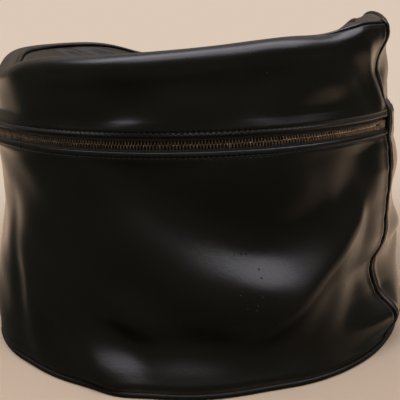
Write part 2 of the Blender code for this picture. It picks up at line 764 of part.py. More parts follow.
def build_handle(vinyl, fleece, steel, rear_panel):
    """Strap, padded grip, backing strip inside the wall, rivets and their washers."""
    low = HANDLE_ANGLE - HANDLE_HALF_ANGLE
    high = HANDLE_ANGLE + HANDLE_HALF_ANGLE
    angles = np.linspace(low, high, STRAP_COLUMNS)
    half = STRAP_WIDTH / 2
    top_side = strap_rows(angles, half, STRAP_THICKNESS)
    strap = shell("handle_strap", top_side, strap_rows(angles, half, 0.0), vinyl)
    first_column = math.floor(low / COLUMN_STEP) * COLUMN_STEP
    last_column = math.ceil(high / COLUMN_STEP) * COLUMN_STEP
    around = columns(first_column, last_column)
    bottom = math.floor((HANDLE_HEIGHT - half - BACKING_MARGIN) / ROW_STEP) * ROW_STEP
    top = math.ceil((HANDLE_HEIGHT + half + BACKING_MARGIN) / ROW_STEP) * ROW_STEP
    backing_inset = SKIN + CLEARANCE
    outer = wall_rows(around, bottom, top, backing_inset)
    inner = wall_rows(around, bottom, top, backing_inset + BACKING_THICKNESS)
    backing = shell("handle_backing", outer, inner, fleece)

    grip_angles = HANDLE_ANGLE + np.linspace(-GRIP_HALF_ANGLE, GRIP_HALF_ANGLE, GRIP_COLUMNS)
    middle = BAG_RADIUS + 2 * CLEARANCE + HANDLE_LIFT * strap_share(grip_angles) + STRAP_THICKNESS / 2
    taper = 1.0 - GRIP_TAPER_SHARE * ((grip_angles - HANDLE_ANGLE) / GRIP_HALF_ANGLE) ** 2
    bm = bmesh.new()
    loops = []
    for angle, radius, size in zip(grip_angles, middle, taper):
        turns = np.radians(np.arange(0.0, 360.0, GRIP_TURN_STEP))
        out = radius + size * GRIP_THICKNESS / 2 * np.sin(turns)
        up = HANDLE_HEIGHT + size * GRIP_WIDTH / 2 * np.cos(turns)
        loops.append([bm.verts.new(p) for p in polar(np.full(len(turns), angle), out, up)])
    for first, second in zip(loops, loops[1:]):
        for k in range(len(first)):
            n = (k + 1) % len(first)
            bm.faces.new((first[k], first[n], second[n], second[k]))
    bm.faces.new(loops[0])
    bm.faces.new(loops[-1][::-1])
    grip = finished("handle_grip", bm, vinyl)
    slot_half = half + CLEARANCE
    slot_top = strap_rows(angles, slot_half, STRAP_THICKNESS + CLEARANCE)
    slot_bottom = strap_rows(angles, slot_half, -CLEARANCE)
    cut(grip, shell("handle_grip_slot", slot_top, slot_bottom, vinyl))

    holes = bmesh.new()
    reach = HANDLE_HALF_ANGLE - side_step(RIVET_SPACING / 2)
    places = [(side, up) for side in (-1, 1) for up in (-1, 1)]
    for number, (side, up) in enumerate(places, start=1):
        angle = HANDLE_ANGLE + side * reach
        add_rivet(number, holes, angle, HANDLE_HEIGHT + up * RIVET_SPACING / 2, steel)
    hole_cutter = finished("rivet_holes", holes, steel)
    for piece in (strap, rear_panel, backing):
        cut(piece, hole_cutter)


def add_rivet(number, holes, angle, height, steel):
    """One rivet: a low head on the strap, a shank through to its washer on the backing strip."""
    frame = surface_frame(angle, height)
    strap_top = STRAP_THICKNESS + 3 * CLEARANCE
    back = -(SKIN + 2 * CLEARANCE + BACKING_THICKNESS)
    tail = back - CLEARANCE - WASHER_THICKNESS
    rim = RIVET_HEAD_HEIGHT * RIVET_RIM_SHARE
    shank = RIVET_SHANK_RADIUS
    profile = [
        (0.0, tail),
        (shank, tail),
        (shank, strap_top),
        (RIVET_HEAD_RADIUS, strap_top),
        (RIVET_HEAD_RADIUS, strap_top + rim),
        (RIVET_HEAD_RADIUS * RIVET_CROWN_SHARE, strap_top + RIVET_HEAD_HEIGHT),
        (0.0, strap_top + RIVET_HEAD_HEIGHT),
    ]
    rivet = bmesh.new()
    add_turned(rivet, profile, frame)
    finished("handle_rivet_%d" % number, rivet, steel)
    bore = shank + CLEARANCE
    washer_out = back - CLEARANCE
    edge = RIVET_HEAD_RADIUS
    ring = [(bore, tail), (edge, tail), (edge, washer_out), (bore, washer_out), (bore, tail)]
    washer = bmesh.new()
    add_turned(washer, ring, frame)
    bmesh.ops.remove_doubles(washer, verts=washer.verts, dist=SKIN / 1000)
    finished("handle_washer_%d" % number, washer, steel)
    far = 2 * STRAP_THICKNESS + SKIN
    add_turned(holes, [(0.0, -far), (bore, -far), (bore, far), (0.0, far)], frame)


def build():
    """Clear the scene and model the whole bag."""
    for old in list(bpy.data.objects):
        bpy.data.objects.remove(old, do_unlink=True)
    vinyl = material("black_vinyl", (0.012, 0.011, 0.010), 0.32, 0.0)
    fleece = material("grey_fleece", (0.16, 0.15, 0.14), 0.95, 0.0)
    board = material("fibreboard", (0.28, 0.20, 0.13), 0.85, 0.0)
    tape = material("black_tape", (0.010, 0.009, 0.008), 0.85, 0.0)
    brass = material("aged_brass", (0.30, 0.21, 0.12), 0.38, 1.0)
    steel = material("nickel_steel", (0.55, 0.54, 0.52), 0.30, 1.0)
    build_base(vinyl, board, fleece)
    rear_panel = build_wall(vinyl)
    build_side_seams(vinyl, fleece)
    build_lid(vinyl, fleece, tape, brass)
    build_zip_ends(tape, brass)
    build_slider(brass)
    build_handle(vinyl, fleece, steel, rear_panel)


build()
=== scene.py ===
"""A soft round drum bag in black leathercloth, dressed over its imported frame.

Lengths are in metres. Angles round the bag are in degrees, from its front (-Y) towards its
right side (+X), so the rear panel is centred on 180. Every surface is a function of two
parameters, worked out on a whole grid at once.
"""
import math

import bpy
import numpy as np
from bpy.props import FloatProperty, FloatVectorProperty, PointerProperty
from mathutils import Matrix, Vector


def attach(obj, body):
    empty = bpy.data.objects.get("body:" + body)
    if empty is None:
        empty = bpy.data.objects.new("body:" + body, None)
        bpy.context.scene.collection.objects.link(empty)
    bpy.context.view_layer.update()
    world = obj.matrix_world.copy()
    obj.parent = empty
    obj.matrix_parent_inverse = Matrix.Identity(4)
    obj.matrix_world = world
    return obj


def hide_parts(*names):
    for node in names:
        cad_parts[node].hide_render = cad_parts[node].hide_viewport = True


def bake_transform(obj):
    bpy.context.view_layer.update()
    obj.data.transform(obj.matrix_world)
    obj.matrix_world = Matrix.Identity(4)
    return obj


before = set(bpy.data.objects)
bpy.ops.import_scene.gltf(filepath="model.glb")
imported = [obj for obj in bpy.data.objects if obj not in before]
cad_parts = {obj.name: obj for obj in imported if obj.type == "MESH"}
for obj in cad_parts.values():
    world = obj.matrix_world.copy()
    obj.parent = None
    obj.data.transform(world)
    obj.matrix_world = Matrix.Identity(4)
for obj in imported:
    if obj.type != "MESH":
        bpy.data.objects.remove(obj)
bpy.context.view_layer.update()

bl_info = {
    "name": "Soft drum bag",
    "version": (1, 0, 0),
    "blender": (4, 5, 0),
    "location": "View3D > Sidebar > Drum Bag",
    "description": "Builds a soft zipped bag for a rack tom, with its seams, zip, lid and handle",
    "category": "Object",
}

# The bag's own sizes, as in its solids
BAG_RADIUS = 0.185
ZIP_HEIGHT = 0.190
BAND_HEIGHT = 0.060
HOLLOW_DEPTH = 0.030
SHOULDER_RADIUS = 0.012
SEAM_ANGLE = 125.0
SKIN = 0.0018
CLEARANCE = 0.0003
BASE_BEAD_RADIUS = 0.0022
SEAM_BEAD_RADIUS = 0.0016
BINDING = 0.0012
BINDING_WIDTH = 0.010
BOARD_THICKNESS = 0.003
LINING_THICKNESS = 0.002
BOARD_MARGIN = 0.006
TOOTH_THICKNESS = 0.0024
CHAIN_HALF = 0.0033
TAPE_THICKNESS = 0.0009
TAPE_WIDTH = 0.0125
FLAP_GAP_ABOVE = 0.0060
FLAP_GAP_BELOW = 0.0053
STOP_SETBACK = 0.0045
STOP_LENGTH = 0.003
STUB_LENGTH = 0.017
HANDLE_HEIGHT = 0.132
HANDLE_ANGLE = 190.0
HANDLE_HALF_ANGLE = 25.0
HANDLE_END_ANGLE = 8.0
HANDLE_LIFT = 0.026
LIFT_STEEPNESS = 1.8
STRAP_WIDTH = 0.026
STRAP_THICKNESS = 0.003
GRIP_HALF_ANGLE = 12.0
GRIP_WIDTH = 0.034
GRIP_THICKNESS = 0.012
GRIP_TAPER_SHARE = 0.18
BACKING_THICKNESS = 0.0015
BACKING_MARGIN = 0.005
SEAT_RUN_ANGLE = 10.0
RIVET_HEAD_RADIUS = 0.0042
RIVET_HEAD_HEIGHT = 0.0014
RIVET_SPACING = 0.014
BACKING_LOW, BACKING_HIGH = 0.1085, 0.1555
BACKING_FROM, BACKING_TO = 165.0, 217.5
SIDE_BINDING_END = 127.3
BACKING_GAP, SIDE_BINDING_GAP = 0.3, 0.15
SLIDER_ANGLE = -121.1
SLIDER_TRAVEL = 242.2
SLIDER_HALF_LENGTH = 0.006
SLIDER_HALF_WIDTH = 0.0047
SLIDER_FRONT = (-0.00095, 0.00045)
SLIDER_BACK = (-0.00615, -0.00475)
POST_OFFSET = -0.0041
PULL_LENGTH = 0.0286
PULL_WIDTH = 0.008
PULL_THICKNESS = 0.0012
PULL_LIFT = 0.0006
ROW_STEP = 0.012

# The finer parts of the slider and the stops. Softness is how far a plate's edge is rounded, and
# roundness is near 0 for an outline with sharp corners and 1 for an oval
SLIDER_TAPER_SHARE = 0.16
STOP_ROUNDNESS, PULL_ROUNDNESS, SMALL_ROUNDNESS = 0.35, 0.42, 0.5
SLIDER_ROUNDNESS, POST_ROUNDNESS, SMALL_LOOP = 0.62, 0.7, 24
PLATE_SOFTNESS, PULL_SOFTNESS, RIDGE_SOFTNESS, THIN_SOFTNESS = 0.0004, 0.0003, 0.00015, 0.0001
SOFT_EDGE_SHARE = 0.3
CLOSED_HOLE_SHARE = 0.02
LIP_LENGTH_SHARE = 0.86
LIP_HALF_WIDTH, LIP_DEPTH, LIP_OVERLAP = 0.00035, 0.0005, 0.0001
LIP_PLACE = SLIDER_HALF_WIDTH - 0.00075
POST_HALF_SIZE = (0.0015, 0.00042)
BRIDGE_HALF_SIZE, BRIDGE_OPENING = (0.0040, 0.0019), (0.0030, 0.00105)
BRIDGE_LIFT, BRIDGE_HALF_WIDTH = 0.0015, 0.0013
PULL_OVERLAP = 0.0006
PULL_NECK, PULL_NECK_RUN, PULL_NECK_SHARE = 0.004, 0.016, 0.28
PULL_SLOT_HALF_SIZE, PULL_SLOT_PLACE = (0.0023, 0.0017), 0.0031
RIDGE_HALF_LENGTH, RIDGE_WIDTH_SHARE, RIDGE_HEIGHT = 0.0007, 0.30, 0.0002
RIDGES, RIDGE_START, RIDGE_STEP = 5, 0.0155, 0.0021

# Teeth, rivets and thread
TOOTH_ROOT, TOOTH_TIP = CHAIN_HALF - 0.0002, -0.0005
TOOTH_HALF_WIDTH, TOOTH_CORNER = 0.00056, 0.35
PARTED_HALF_ANGLE, PARTED_LIFT = 1.1, 0.0011
TAPE_STEP = 0.0009
RIVET_HEAD_EDGE = 0.0003
SHANK_RADIUS, SHANK_OVERHANG = 0.0015, 0.0009
RIVET_SINK, SHANK_BEVEL, RIVET_BEVEL, DOME_TURNS = 0.0001, 0.0001, 0.0002, (90.0, 9.0, -16.0)
WASHER_RADIUS, WASHER_HOLE_RADIUS = 0.0040, 0.0016
WASHER_SECTION = (
    (WASHER_RADIUS - 0.0003, 0.0), (WASHER_RADIUS, -0.0003), (WASHER_RADIUS - 0.0002, -0.0008),
    (WASHER_HOLE_RADIUS + 0.0002, -0.0008), (WASHER_HOLE_RADIUS, -0.0005), (WASHER_HOLE_RADIUS, -0.0001),
)
STRAP_STITCH_INSET = 0.0036
STITCH_END_ANGLE, STITCH_LIFT, STITCH_REACH = 0.6, 0.00005, 0.0012
THREAD_FLATNESS, THREAD_CORNER = 0.32, 0.5
BAR_SIDES, BAR_ROUNDNESS = 8, 0.6
CORD_SIDES, TURNED_SIDES = 12, 32

# The handle's stitches, in degrees from its ends and from the grip, and the strap's soft padding
# and rubbed edges
STRAP_STITCH_GAPS, GRIP_GAP = (1.5, 1.4), 0.4
STRAP_TURN_STEP, STRAP_WORN, STRAP_WORN_POWER = 0.2, 0.6, 8
PADDING, PADDING_WAVES, PADDING_SINK = 0.0004, 1.6, 0.0003
UNDERSIDE, UNDERSIDE_SHARE = 0.0002, 0.3

# The grip's rounded ends, gathers, slack waves and sewn line, as shares of its size
GRIP_END_REACH, GRIP_END_SHARES = 0.10, (0.62, 0.38)
GRIP_ROUND_START, GRIP_ROUND_RUN, GRIP_ROUNDNESS = 0.93, 0.07, 0.85
GRIP_GATHER, GRIP_GATHERS, GRIP_GATHER_START = 0.020, 11.0, 0.7
GRIP_SLACK, GRIP_SLACK_WAVES, GRIP_SLACK_TWIST = 0.012, 3.0, 9.0
GRIP_SEAM_SHARE, GRIP_SEAM_HALF_WIDTH, GRIP_WORN = 0.08, 0.13, 0.35

# Turns at which a sheet's round edge is cut, and a length too small to matter
EDGE_TURNS = tuple(math.radians(turn) for turn in (45.0, 90.0, 135.0))
TINY = 1e-12

# Soft swells and dents of the wall: angle, height as a share of the zip's height, half width
# in degrees, half height as a share of the zip's height, depth as a share of the bag's radius
WALL_FORM_SHARES = (
    (-8.0, 0.72, 35.0, 0.25, -0.068),
    (-8.0, 1.17, 35.0, 0.18, -0.055),
    (125.0, 0.365, 18.0, 0.104, -0.070),
    (123.0, 0.161, 15.0, 0.068, 0.050),
    (125.0, 0.86, 14.0, 0.135, 0.018),
    (126.0, 1.23, 14.0, 0.094, -0.018),
    (144.0, 1.17, 24.0, 0.365, -0.075),
    (146.0, 0.65, 20.0, 0.115, -0.030),
    (144.0, 0.505, 12.0, 0.057, 0.020),
    (105.0, 0.052, 14.0, 0.115, 0.020),
    (-8.0, 0.167, 30.0, 0.115, 0.012),
    (-100.0, 0.63, 35.0, 0.23, -0.040),
    (-95.0, 1.12, 30.0, 0.16, -0.030),
    (215.0, 1.04, 22.0, 0.31, -0.030),
    (125.0, 1.385, 15.0, 0.110, 0.086),
    (125.0, 0.74, 15.0, 0.230, 0.018),
    (125.0, 0.13, 13.0, 0.060, 0.022),
    (125.0, 0.25, 9.0, 0.050, -0.018),
    (139.0, 1.21, 10.0, 0.085, 0.024),
    (141.0, 0.98, 9.0, 0.060, -0.016),
)
LEAN_SHARE = 0.045
LEAN_POWER = 1.5
LEAN_LIMIT = 2.0
CALM_END_ANGLE = 128.0
CALM_RUN_ANGLE = 10.0

# Swells of the rim: angle, half width in degrees, rise as a share of the rim's height
RIM_FORM_SHARES = (
    (122.0, 55.0, 0.062),
    (169.0, 16.0, 0.060),
    (-98.0, 16.0, -0.055),
    (0.0, 18.0, -0.040),
    (229.0, 30.0, -0.030),
    (137.0, 13.0, 0.016),
    (140.5, 12.0, 0.026),
    (-178.0, 9.0, -0.009),
    (169.0, 9.0, -0.014),
    (104.0, 8.0, -0.011),
    (116.0, 6.0, 0.009),
    (-120.0, 20.0, -0.018),
)
SHOULDER_SWEEP = 115.0
PINCH_SWEEP = 62.0
PINCH_HALF_ANGLE = 18.0
PINCH_SHARE = 0.55
HOLLOW_POWER = 2.4

# Folds of the leathercloth, in metres of its own surface: angle and height of the middle,
# tilt in degrees, bend per metre, half length, half width, size, and 1 for a ledge or 0 for a ridge
FOLDS = (
    (80.6, 0.0891, 0.0, 6.3, 0.079, 0.0220, 0.0100, 1.0),
    (46.9, 0.0274, -41.0, 0.0, 0.032, 0.0123, 0.0060, 1.0),
    (91.5, 0.0200, 8.0, 0.0, 0.018, 0.0100, 0.0010, 1.0),
    (53.9, 0.2044, 10.0, 0.0, 0.024, 0.0130, 0.0066, 1.0),
    (81.5, 0.2072, -2.0, 0.0, 0.022, 0.0200, 0.0047, 1.0),
    (118.5, 0.2220, -64.0, 0.0, 0.034, 0.0100, 0.0048, 0.0),
    (103.5, 0.1200, -84.0, 1.0, 0.060, 0.0130, 0.0022, 0.0),
    (113.0, 0.1350, -88.0, 0.0, 0.050, 0.0090, -0.0020, 0.0),
    (102.5, 0.0500, 50.0, 0.0, 0.024, 0.0100, 0.0020, 0.0),
    (14.0, 0.0750, -80.0, 0.0, 0.050, 0.0120, -0.0025, 0.0),
    (22.0, 0.0450, -70.0, 0.0, 0.030, 0.0120, 0.0020, 0.0),
    (-45.0, 0.1100, -30.0, 2.0, 0.055, 0.0180, 0.0050, 1.0),
    (-80.0, 0.0600, 24.0, 0.0, 0.045, 0.0150, 0.0040, 1.0),
    (-104.0, 0.1300, 80.0, 0.0, 0.050, 0.0110, -0.0030, 0.0),
    (152.0, 0.0900, 35.0, 0.0, 0.035, 0.0140, 0.0030, 1.0),
    (205.0, 0.0600, -18.0, 3.0, 0.050, 0.0160, 0.0040, 1.0),
    (222.0, 0.1500, -66.0, 0.0, 0.040, 0.0100, -0.0030, 0.0),
    (-30.0, 0.2220, 6.0, 0.0, 0.050, 0.0120, 0.0026, 1.0),
    (71.9, 0.1184, -20.0, 0.0, 0.075, 0.0220, 0.0069, 1.0),
    (63.6, 0.2420, 3.0, 0.0, 0.105, 0.0083, 0.0070, 0.0),
    (62.1, 0.0209, -3.0, 0.0, 0.095, 0.0145, 0.0072, 1.0),
    (98.2, 0.0894, 42.0, 0.0, 0.072, 0.0110, 0.0045, 0.0),
    (95.4, 0.2020, 7.0, 0.0, 0.068, 0.0098, 0.0029, 1.0),
)

# Creases of the top panel: place, tilt in degrees, half length, half width, size, and the
# share of the radius over which they fade towards the seam
TOP_FOLDS = (
    (-0.055, -0.050, 62.0, 0.060, 0.016, 0.0055, 0.25),
    (0.035, -0.065, 105.0, 0.055, 0.016, 0.0050, 0.25),
    (0.085, 0.020, 150.0, 0.050, 0.016, 0.0050, 0.25),
    (-0.075, 0.040, -25.0, 0.050, 0.016, 0.0050, 0.25),
    (0.0, 0.020, 20.0, 0.060, 0.018, -0.0045, 0.25),
    (-0.125, -0.035, 50.0, 0.030, 0.008, 0.0035, 0.08),
    (-0.115, -0.075, 55.0, 0.028, 0.007, 0.0030, 0.08),
    (0.050, 0.105, 15.0, 0.040, 0.009, 0.0025, 0.08),
)

# Low waves all over the wall: waves round the bag, waves up it per metre, start, height
WAVES = ((7.0, 9.0, 0.4, 0.0007), (11.0, -14.0, 2.1, 0.0005), (17.0, 21.0, 4.0, 0.0003))

RIM_HEIGHT = ZIP_HEIGHT + BAND_HEIGHT
BAND_LEVEL = ZIP_HEIGHT + 2 * ROW_STEP
BEAD_SINK = SKIN - SEAM_BEAD_RADIUS
TOP_EDGE_REACH = 2 * SEAM_BEAD_RADIUS + 3 * CLEARANCE
TAPE_INSET = SKIN + 2 * CLEARANCE
TOOTH_DEPTH = TAPE_INSET + TAPE_THICKNESS / 2 - TOOTH_THICKNESS / 2
WALL_FOOT = 2 * BASE_BEAD_RADIUS + 2 * CLEARANCE
CAMERA_TURN = 68.0


def wrapped(angle):
    """The same angle between -180 and 180."""
    return (np.asarray(angle, float) + 180.0) % 360.0 - 180.0


def smooth(share):
    """0 below 0 and 1 above 1, with a smooth step between."""
    t = np.clip(share, 0.0, 1.0)
    return t * t * (3.0 - 2.0 * t)


def bell(distance, width):
    """1 at no distance, falling off to both sides: e to the minus square of distance over width."""
    return np.exp(-(distance / width) ** 2)


def squared_off(wave, power):
    """A wave raised to a power below one with its sign kept, which makes a circle a soft square."""
    return np.sign(wave) * np.abs(wave) ** power


def unit_rows(rows):
    """Each row brought to length one."""
    return rows / np.linalg.norm(rows, axis=1)[:, None]


def side_step(distance):
    """Degrees round the bag that a distance along its wall takes."""
    return math.degrees(distance / BAG_RADIUS)


PANEL_EDGE = SEAM_ANGLE - side_step(SEAM_BEAD_RADIUS + 2 * CLEARANCE)
REAR_EDGE = SEAM_ANGLE + side_step(SEAM_BEAD_RADIUS + 2 * CLEARANCE)
STOP_ANGLE = SEAM_ANGLE - side_step(STOP_SETBACK)
ZIP_END = STOP_ANGLE - side_step(STUB_LENGTH)
POST_SPOTS = tuple(SLIDER_ANGLE + turn + side_step(POST_OFFSET) for turn in (0.0, SLIDER_TRAVEL))


def polar(angle, radius, height):
    """Points: radius times the sine and minus the cosine of the angle, and the height."""
    a, r, z = np.broadcast_arrays(np.radians(angle), radius, height)
    return np.stack([r * np.sin(a), -r * np.cos(a), z], axis=-1)


def zip_calm(angle, height):
    """0 near the zip, where the wall keeps a true circle for the slider, and 1 away from it."""
    away = smooth((np.abs(height - ZIP_HEIGHT) - FLAP_GAP_ABOVE) / ROW_STEP)
    rear = smooth((np.abs(wrapped(angle)) - CALM_END_ANGLE) / CALM_RUN_ANGLE)
    return np.maximum(away, rear)


def rim_height(angle):
    """Height of the rolled shoulder's crest: an even rim plus its soft swells."""
    rise = 0.0
    for centre, width, share in RIM_FORM_SHARES:
        rise = rise + share * bell(wrapped(angle - centre), width)
    return RIM_HEIGHT * (1.0 + rise)


def seat_calm(angle, height):
    """0 where the handle is riveted on, which keeps the folds off it, and 1 away from it."""
    aside = (np.abs(wrapped(angle - HANDLE_ANGLE)) - HANDLE_HALF_ANGLE) / SEAT_RUN_ANGLE
    off = (np.abs(height - HANDLE_HEIGHT) - STRAP_WIDTH / 2 - BACKING_MARGIN) / (2 * ROW_STEP)
    return np.maximum(smooth(aside), smooth(off))


def folds(angle, height):
    """Sum of the folds: a ridge is a bell across its line, a ledge is a bell's slope across it. A
    fold fades where it would cross the zip."""
    total = 0.0
    for centre, level, tilt, bend, length, width, size, ledge in FOLDS:
        s = np.radians(wrapped(angle - centre)) * BAG_RADIUS
        v = height - level
        c, n = math.cos(math.radians(tilt)), math.sin(math.radians(tilt))
        along = s * c + v * n
        across = (v * c - s * n - bend * along ** 2) / width
        form = np.exp(0.5 * ledge - across ** 2 * (1.0 - 0.5 * ledge))
        form = form * np.where(ledge > 0.0, -across, 1.0)
        side = 1.0 if level > ZIP_HEIGHT else -1.0
        form = form * smooth(0.5 + side * (height - ZIP_HEIGHT) / (2 * ROW_STEP))
        total = total + size * form * bell(along, length)
    total = total * seat_calm(angle, height)
    for around, up, start, depth in WAVES:
        total = total + depth * np.sin(around * np.radians(angle) + up * 2 * np.pi * height + start)
    return total


def wall_radius(angle, height):
    """Radius of the outer skin: a circle, plus swells, dents and folds, leaning in above the zip."""
    swells = 0.0
    for centre, level, width, depth, share in WALL_FORM_SHARES:
        across = wrapped(angle - centre) / width
        up = (height / ZIP_HEIGHT - level) / depth
        swells = swells + share * np.exp(-across ** 2 - up ** 2)
    above = np.clip((height - BAND_LEVEL) / (RIM_HEIGHT - BAND_LEVEL), 0.0, LEAN_LIMIT)
    calm = zip_calm(angle, height)
    even = BAG_RADIUS * (1.0 + swells * calm - LEAN_SHARE * above ** LEAN_POWER)
    return even + folds(angle, height) * calm


def pinch(angle):
    """1 at the two side seams, where the shoulder is drawn tight, and 0 away from them."""
    return bell(np.abs(wrapped(angle)) - SEAM_ANGLE, PINCH_HALF_ANGLE)


def shoulder_point(angle, share, inset):
    """A point on the rolled shoulder, an arc from its foot (share 0) to the top seam (share 1)."""
    bend = SHOULDER_RADIUS * (1.0 - PINCH_SHARE * pinch(angle))
    sweep = np.radians(SHOULDER_SWEEP + (PINCH_SWEEP - SHOULDER_SWEEP) * pinch(angle))
    foot = rim_height(angle) - bend
    turn = sweep * share
    radius = panel_radius(angle, foot) - bend * (1.0 - np.cos(turn)) - inset * np.cos(turn)
    height = foot + (bend - inset) * np.sin(turn)
    return radius, height, turn


def past_shoulder(angle, distance, inset):
    """Radius and height a distance past the shoulder's end, straight on along its surface."""
    radius, height, turn = shoulder_point(angle, 1.0, inset)
    return radius - distance * np.sin(turn), height + distance * np.cos(turn)


def graded(low, high, step, edge_step, edge_reach):
    """Values from low to high, close together at both ends and a whole step apart between."""
    edge = np.arange(int(round(edge_reach / edge_step))) * edge_step
    count = max(2, int((high - low - 2 * edge_reach) / step))
    middle = np.linspace(low + edge_reach, high - edge_reach, count)
    return np.concatenate([low + edge, middle, (high - edge)[::-1]])


def quads(rows, cols, around=False):
    """Corner numbers of the quads of a grid, counted row by row."""
    index = np.arange(rows * cols).reshape(rows, cols)
    if around:
        index = np.concatenate([index, index[:, :1]], axis=1)
    corners = (index[:-1, :-1], index[:-1, 1:], index[1:, 1:], index[1:, :-1])
    return np.stack(corners, axis=-1).reshape(-1, 4)


def bridged(first, second):
    """Quads from one loop of corner numbers to the next."""
    return np.stack([first, second, np.roll(second, -1), np.roll(first, -1)], axis=-1)


def fanned(loop, tip):
    """Quads that close a loop of corner numbers on one point."""
    tips = np.full(len(loop), tip)
    return np.stack([loop, np.roll(loop, -1), tips, tips], axis=-1)


def joined(rings):
    """Rings joined one to the next, and the last to the first: their points and faces."""
    count, sides = rings.shape[:2]
    first = np.arange(sides)
    last = (count - 1) * sides + first
    join = np.stack([last, np.roll(last, -1), np.roll(first, -1), first], axis=-1)
    return rings.reshape(-1, 3), np.concatenate([quads(count, sides, around=True), join])


def capped(rings, tips):
    """Rings joined one to the next and closed on a point at each end: their points and faces."""
    count, sides = rings.shape[:2]
    total = count * sides
    first = np.arange(sides)
    head = np.stack([np.roll(first, -1), first, np.full(sides, total), np.full(sides, total)], axis=-1)
    faces = [quads(count, sides, around=True), head, fanned(total - sides + first, total + 1)]
    return np.concatenate([rings.reshape(-1, 3), tips]), np.concatenate(faces)


def moved(points, matrix):
    """Points put in place by a matrix."""
    return points @ np.array(matrix.to_3x3()).T + np.array(matrix.translation)


def make_mesh(name, points, faces, finishes, finish_index=None, values=None):
    """A smooth mesh object from whole arrays, at the origin, with its finishes and named values. A
    quad that names one corner twice is a triangle."""
    mesh = bpy.data.meshes.new(name)
    points = np.asarray(points, np.float64).reshape(-1, 3)
    corners = [list(dict.fromkeys(face)) for face in np.asarray(faces).tolist()]
    mesh.from_pydata(points.tolist(), [], corners)
    for made in finishes:
        mesh.materials.append(made)
    if finish_index is not None:
        mesh.polygons.foreach_set("material_index", np.asarray(finish_index, np.int32))
    for key, numbers in (values or {}).items():
        layer = mesh.attributes.new(key, "FLOAT", "POINT")
        layer.data.foreach_set("value", np.asarray(numbers, np.float32).ravel())
    mesh.shade_smooth()
    mesh.update()
    piece = bpy.data.objects.new(name, mesh)
    bpy.context.collection.objects.link(piece)
    return piece


def closed_sheet(name, outer, inner, looks, values=None, around=False, poles=None):
    """A sheet with two faces and a round edge: the edge is a half circle from face to face. With
    around, the rows are rings; with poles, the last rings close on a point each. The last look is
    the inner face's."""
    rows, cols = outer.shape[:2]
    count = rows * cols
    face = quads(rows, cols, around)
    if around:
        ring = np.arange(cols)
        loops = [(ring, ring + cols, False), (ring + count - cols, ring + count - 2 * cols, True)]
        if poles is not None:
            loops = loops[:1]
    else:
        index = np.arange(count).reshape(rows, cols)
        sides = [index[0, :-1], index[:-1, -1], index[-1, :0:-1], index[:0:-1, 0]]
        near = [index[1, :-1], index[:-1, -2], index[-2, :0:-1], index[:0:-1, 1]]
        loops = [(np.concatenate(sides), np.concatenate(near), False)]
    outer, inner = outer.reshape(-1, 3), inner.reshape(-1, 3)
    points = [outer, inner]
    faces = [face, face[:, ::-1] + count]
    source = [np.arange(count), np.arange(count)]
    total = 2 * count
    for loop, near, flip in loops:
        half = (outer[loop] - inner[loop]) / 2
        middle = (outer[loop] + inner[loop]) / 2
        outward = outer[loop] - outer[near]
        outward /= np.linalg.norm(outward, axis=1)[:, None] + TINY
        outward *= np.linalg.norm(half, axis=1)[:, None]
        rings = [loop]
        for turn in EDGE_TURNS:
            points.append(middle + half * math.cos(turn) + outward * math.sin(turn))
            rings.append(total + np.arange(len(loop)))
            source.append(loop)
            total += len(loop)
        rings.append(loop + count)
        for first, second in zip(rings, rings[1:]):
            turned = bridged(first, second)
            faces.append(turned[:, ::-1] if flip else turned)
    edge_faces = sum(len(f) for f in faces[2:])
    back = len(looks) - 1
    finish_index = [np.zeros(len(face)), np.full(len(face), back), np.zeros(edge_faces)]
    if poles is not None:
        last = np.arange(count - cols, count)
        for number, pole in enumerate(poles):
            points.append(pole[None])
            source.append(last[:1])
            faces.append(fanned(last if number == 0 else last[::-1] + count, total))
            finish_index.append(np.full(cols, number * back))
            total += 1
    source = np.concatenate(source)
    carried = {key: np.broadcast_to(numbers, (rows, cols)).reshape(-1)[source]
               for key, numbers in (values or {}).items()}
    return make_mesh(name, np.concatenate(points), np.concatenate(faces), [finish(look) for look in looks],
                     np.concatenate(finish_index), carried)


def strip(name, angles, heights, radius, thickness, look, around=False):
    """A strip of cloth round the bag: its outer face on a radius, its thickness inwards."""
    outer, inner = (polar(angles, radius - depth, heights) for depth in (0.0, thickness))
    return closed_sheet(name, outer, inner, [look], None, around)


def tube(name, path, outward, radius, look="leather", closed=False):
    """A round cord: a circle carried along a path, kept square to it."""
    if closed:
        along = np.roll(path, -1, axis=0) - np.roll(path, 1, axis=0)
    else:
        along = np.gradient(path, axis=0)
    along = unit_rows(along)
    out = unit_rows(outward - along * np.sum(outward * along, axis=1)[:, None])
    side = np.cross(along, out)
    turns = np.linspace(0.0, 2 * np.pi, CORD_SIDES, endpoint=False)[None, :, None]
    rings = path[:, None] + radius * (np.cos(turns) * out[:, None] + np.sin(turns) * side[:, None])
    points, faces = joined(rings) if closed else capped(rings, path[[0, -1]])
    return make_mesh(name, points, faces, [finish(look)])


def repeated(name, shape, faces, places, frames, look):
    """Many copies of one small shape: each copy is its place plus the shape turned by its frame."""
    points = places[:, None] + np.einsum("kj,njc->nkc", shape, frames)
    shift = np.arange(len(places))[:, None, None] * len(shape)
    return make_mesh(name, points, (faces[None] + shift).reshape(-1, 4), [finish(look)])


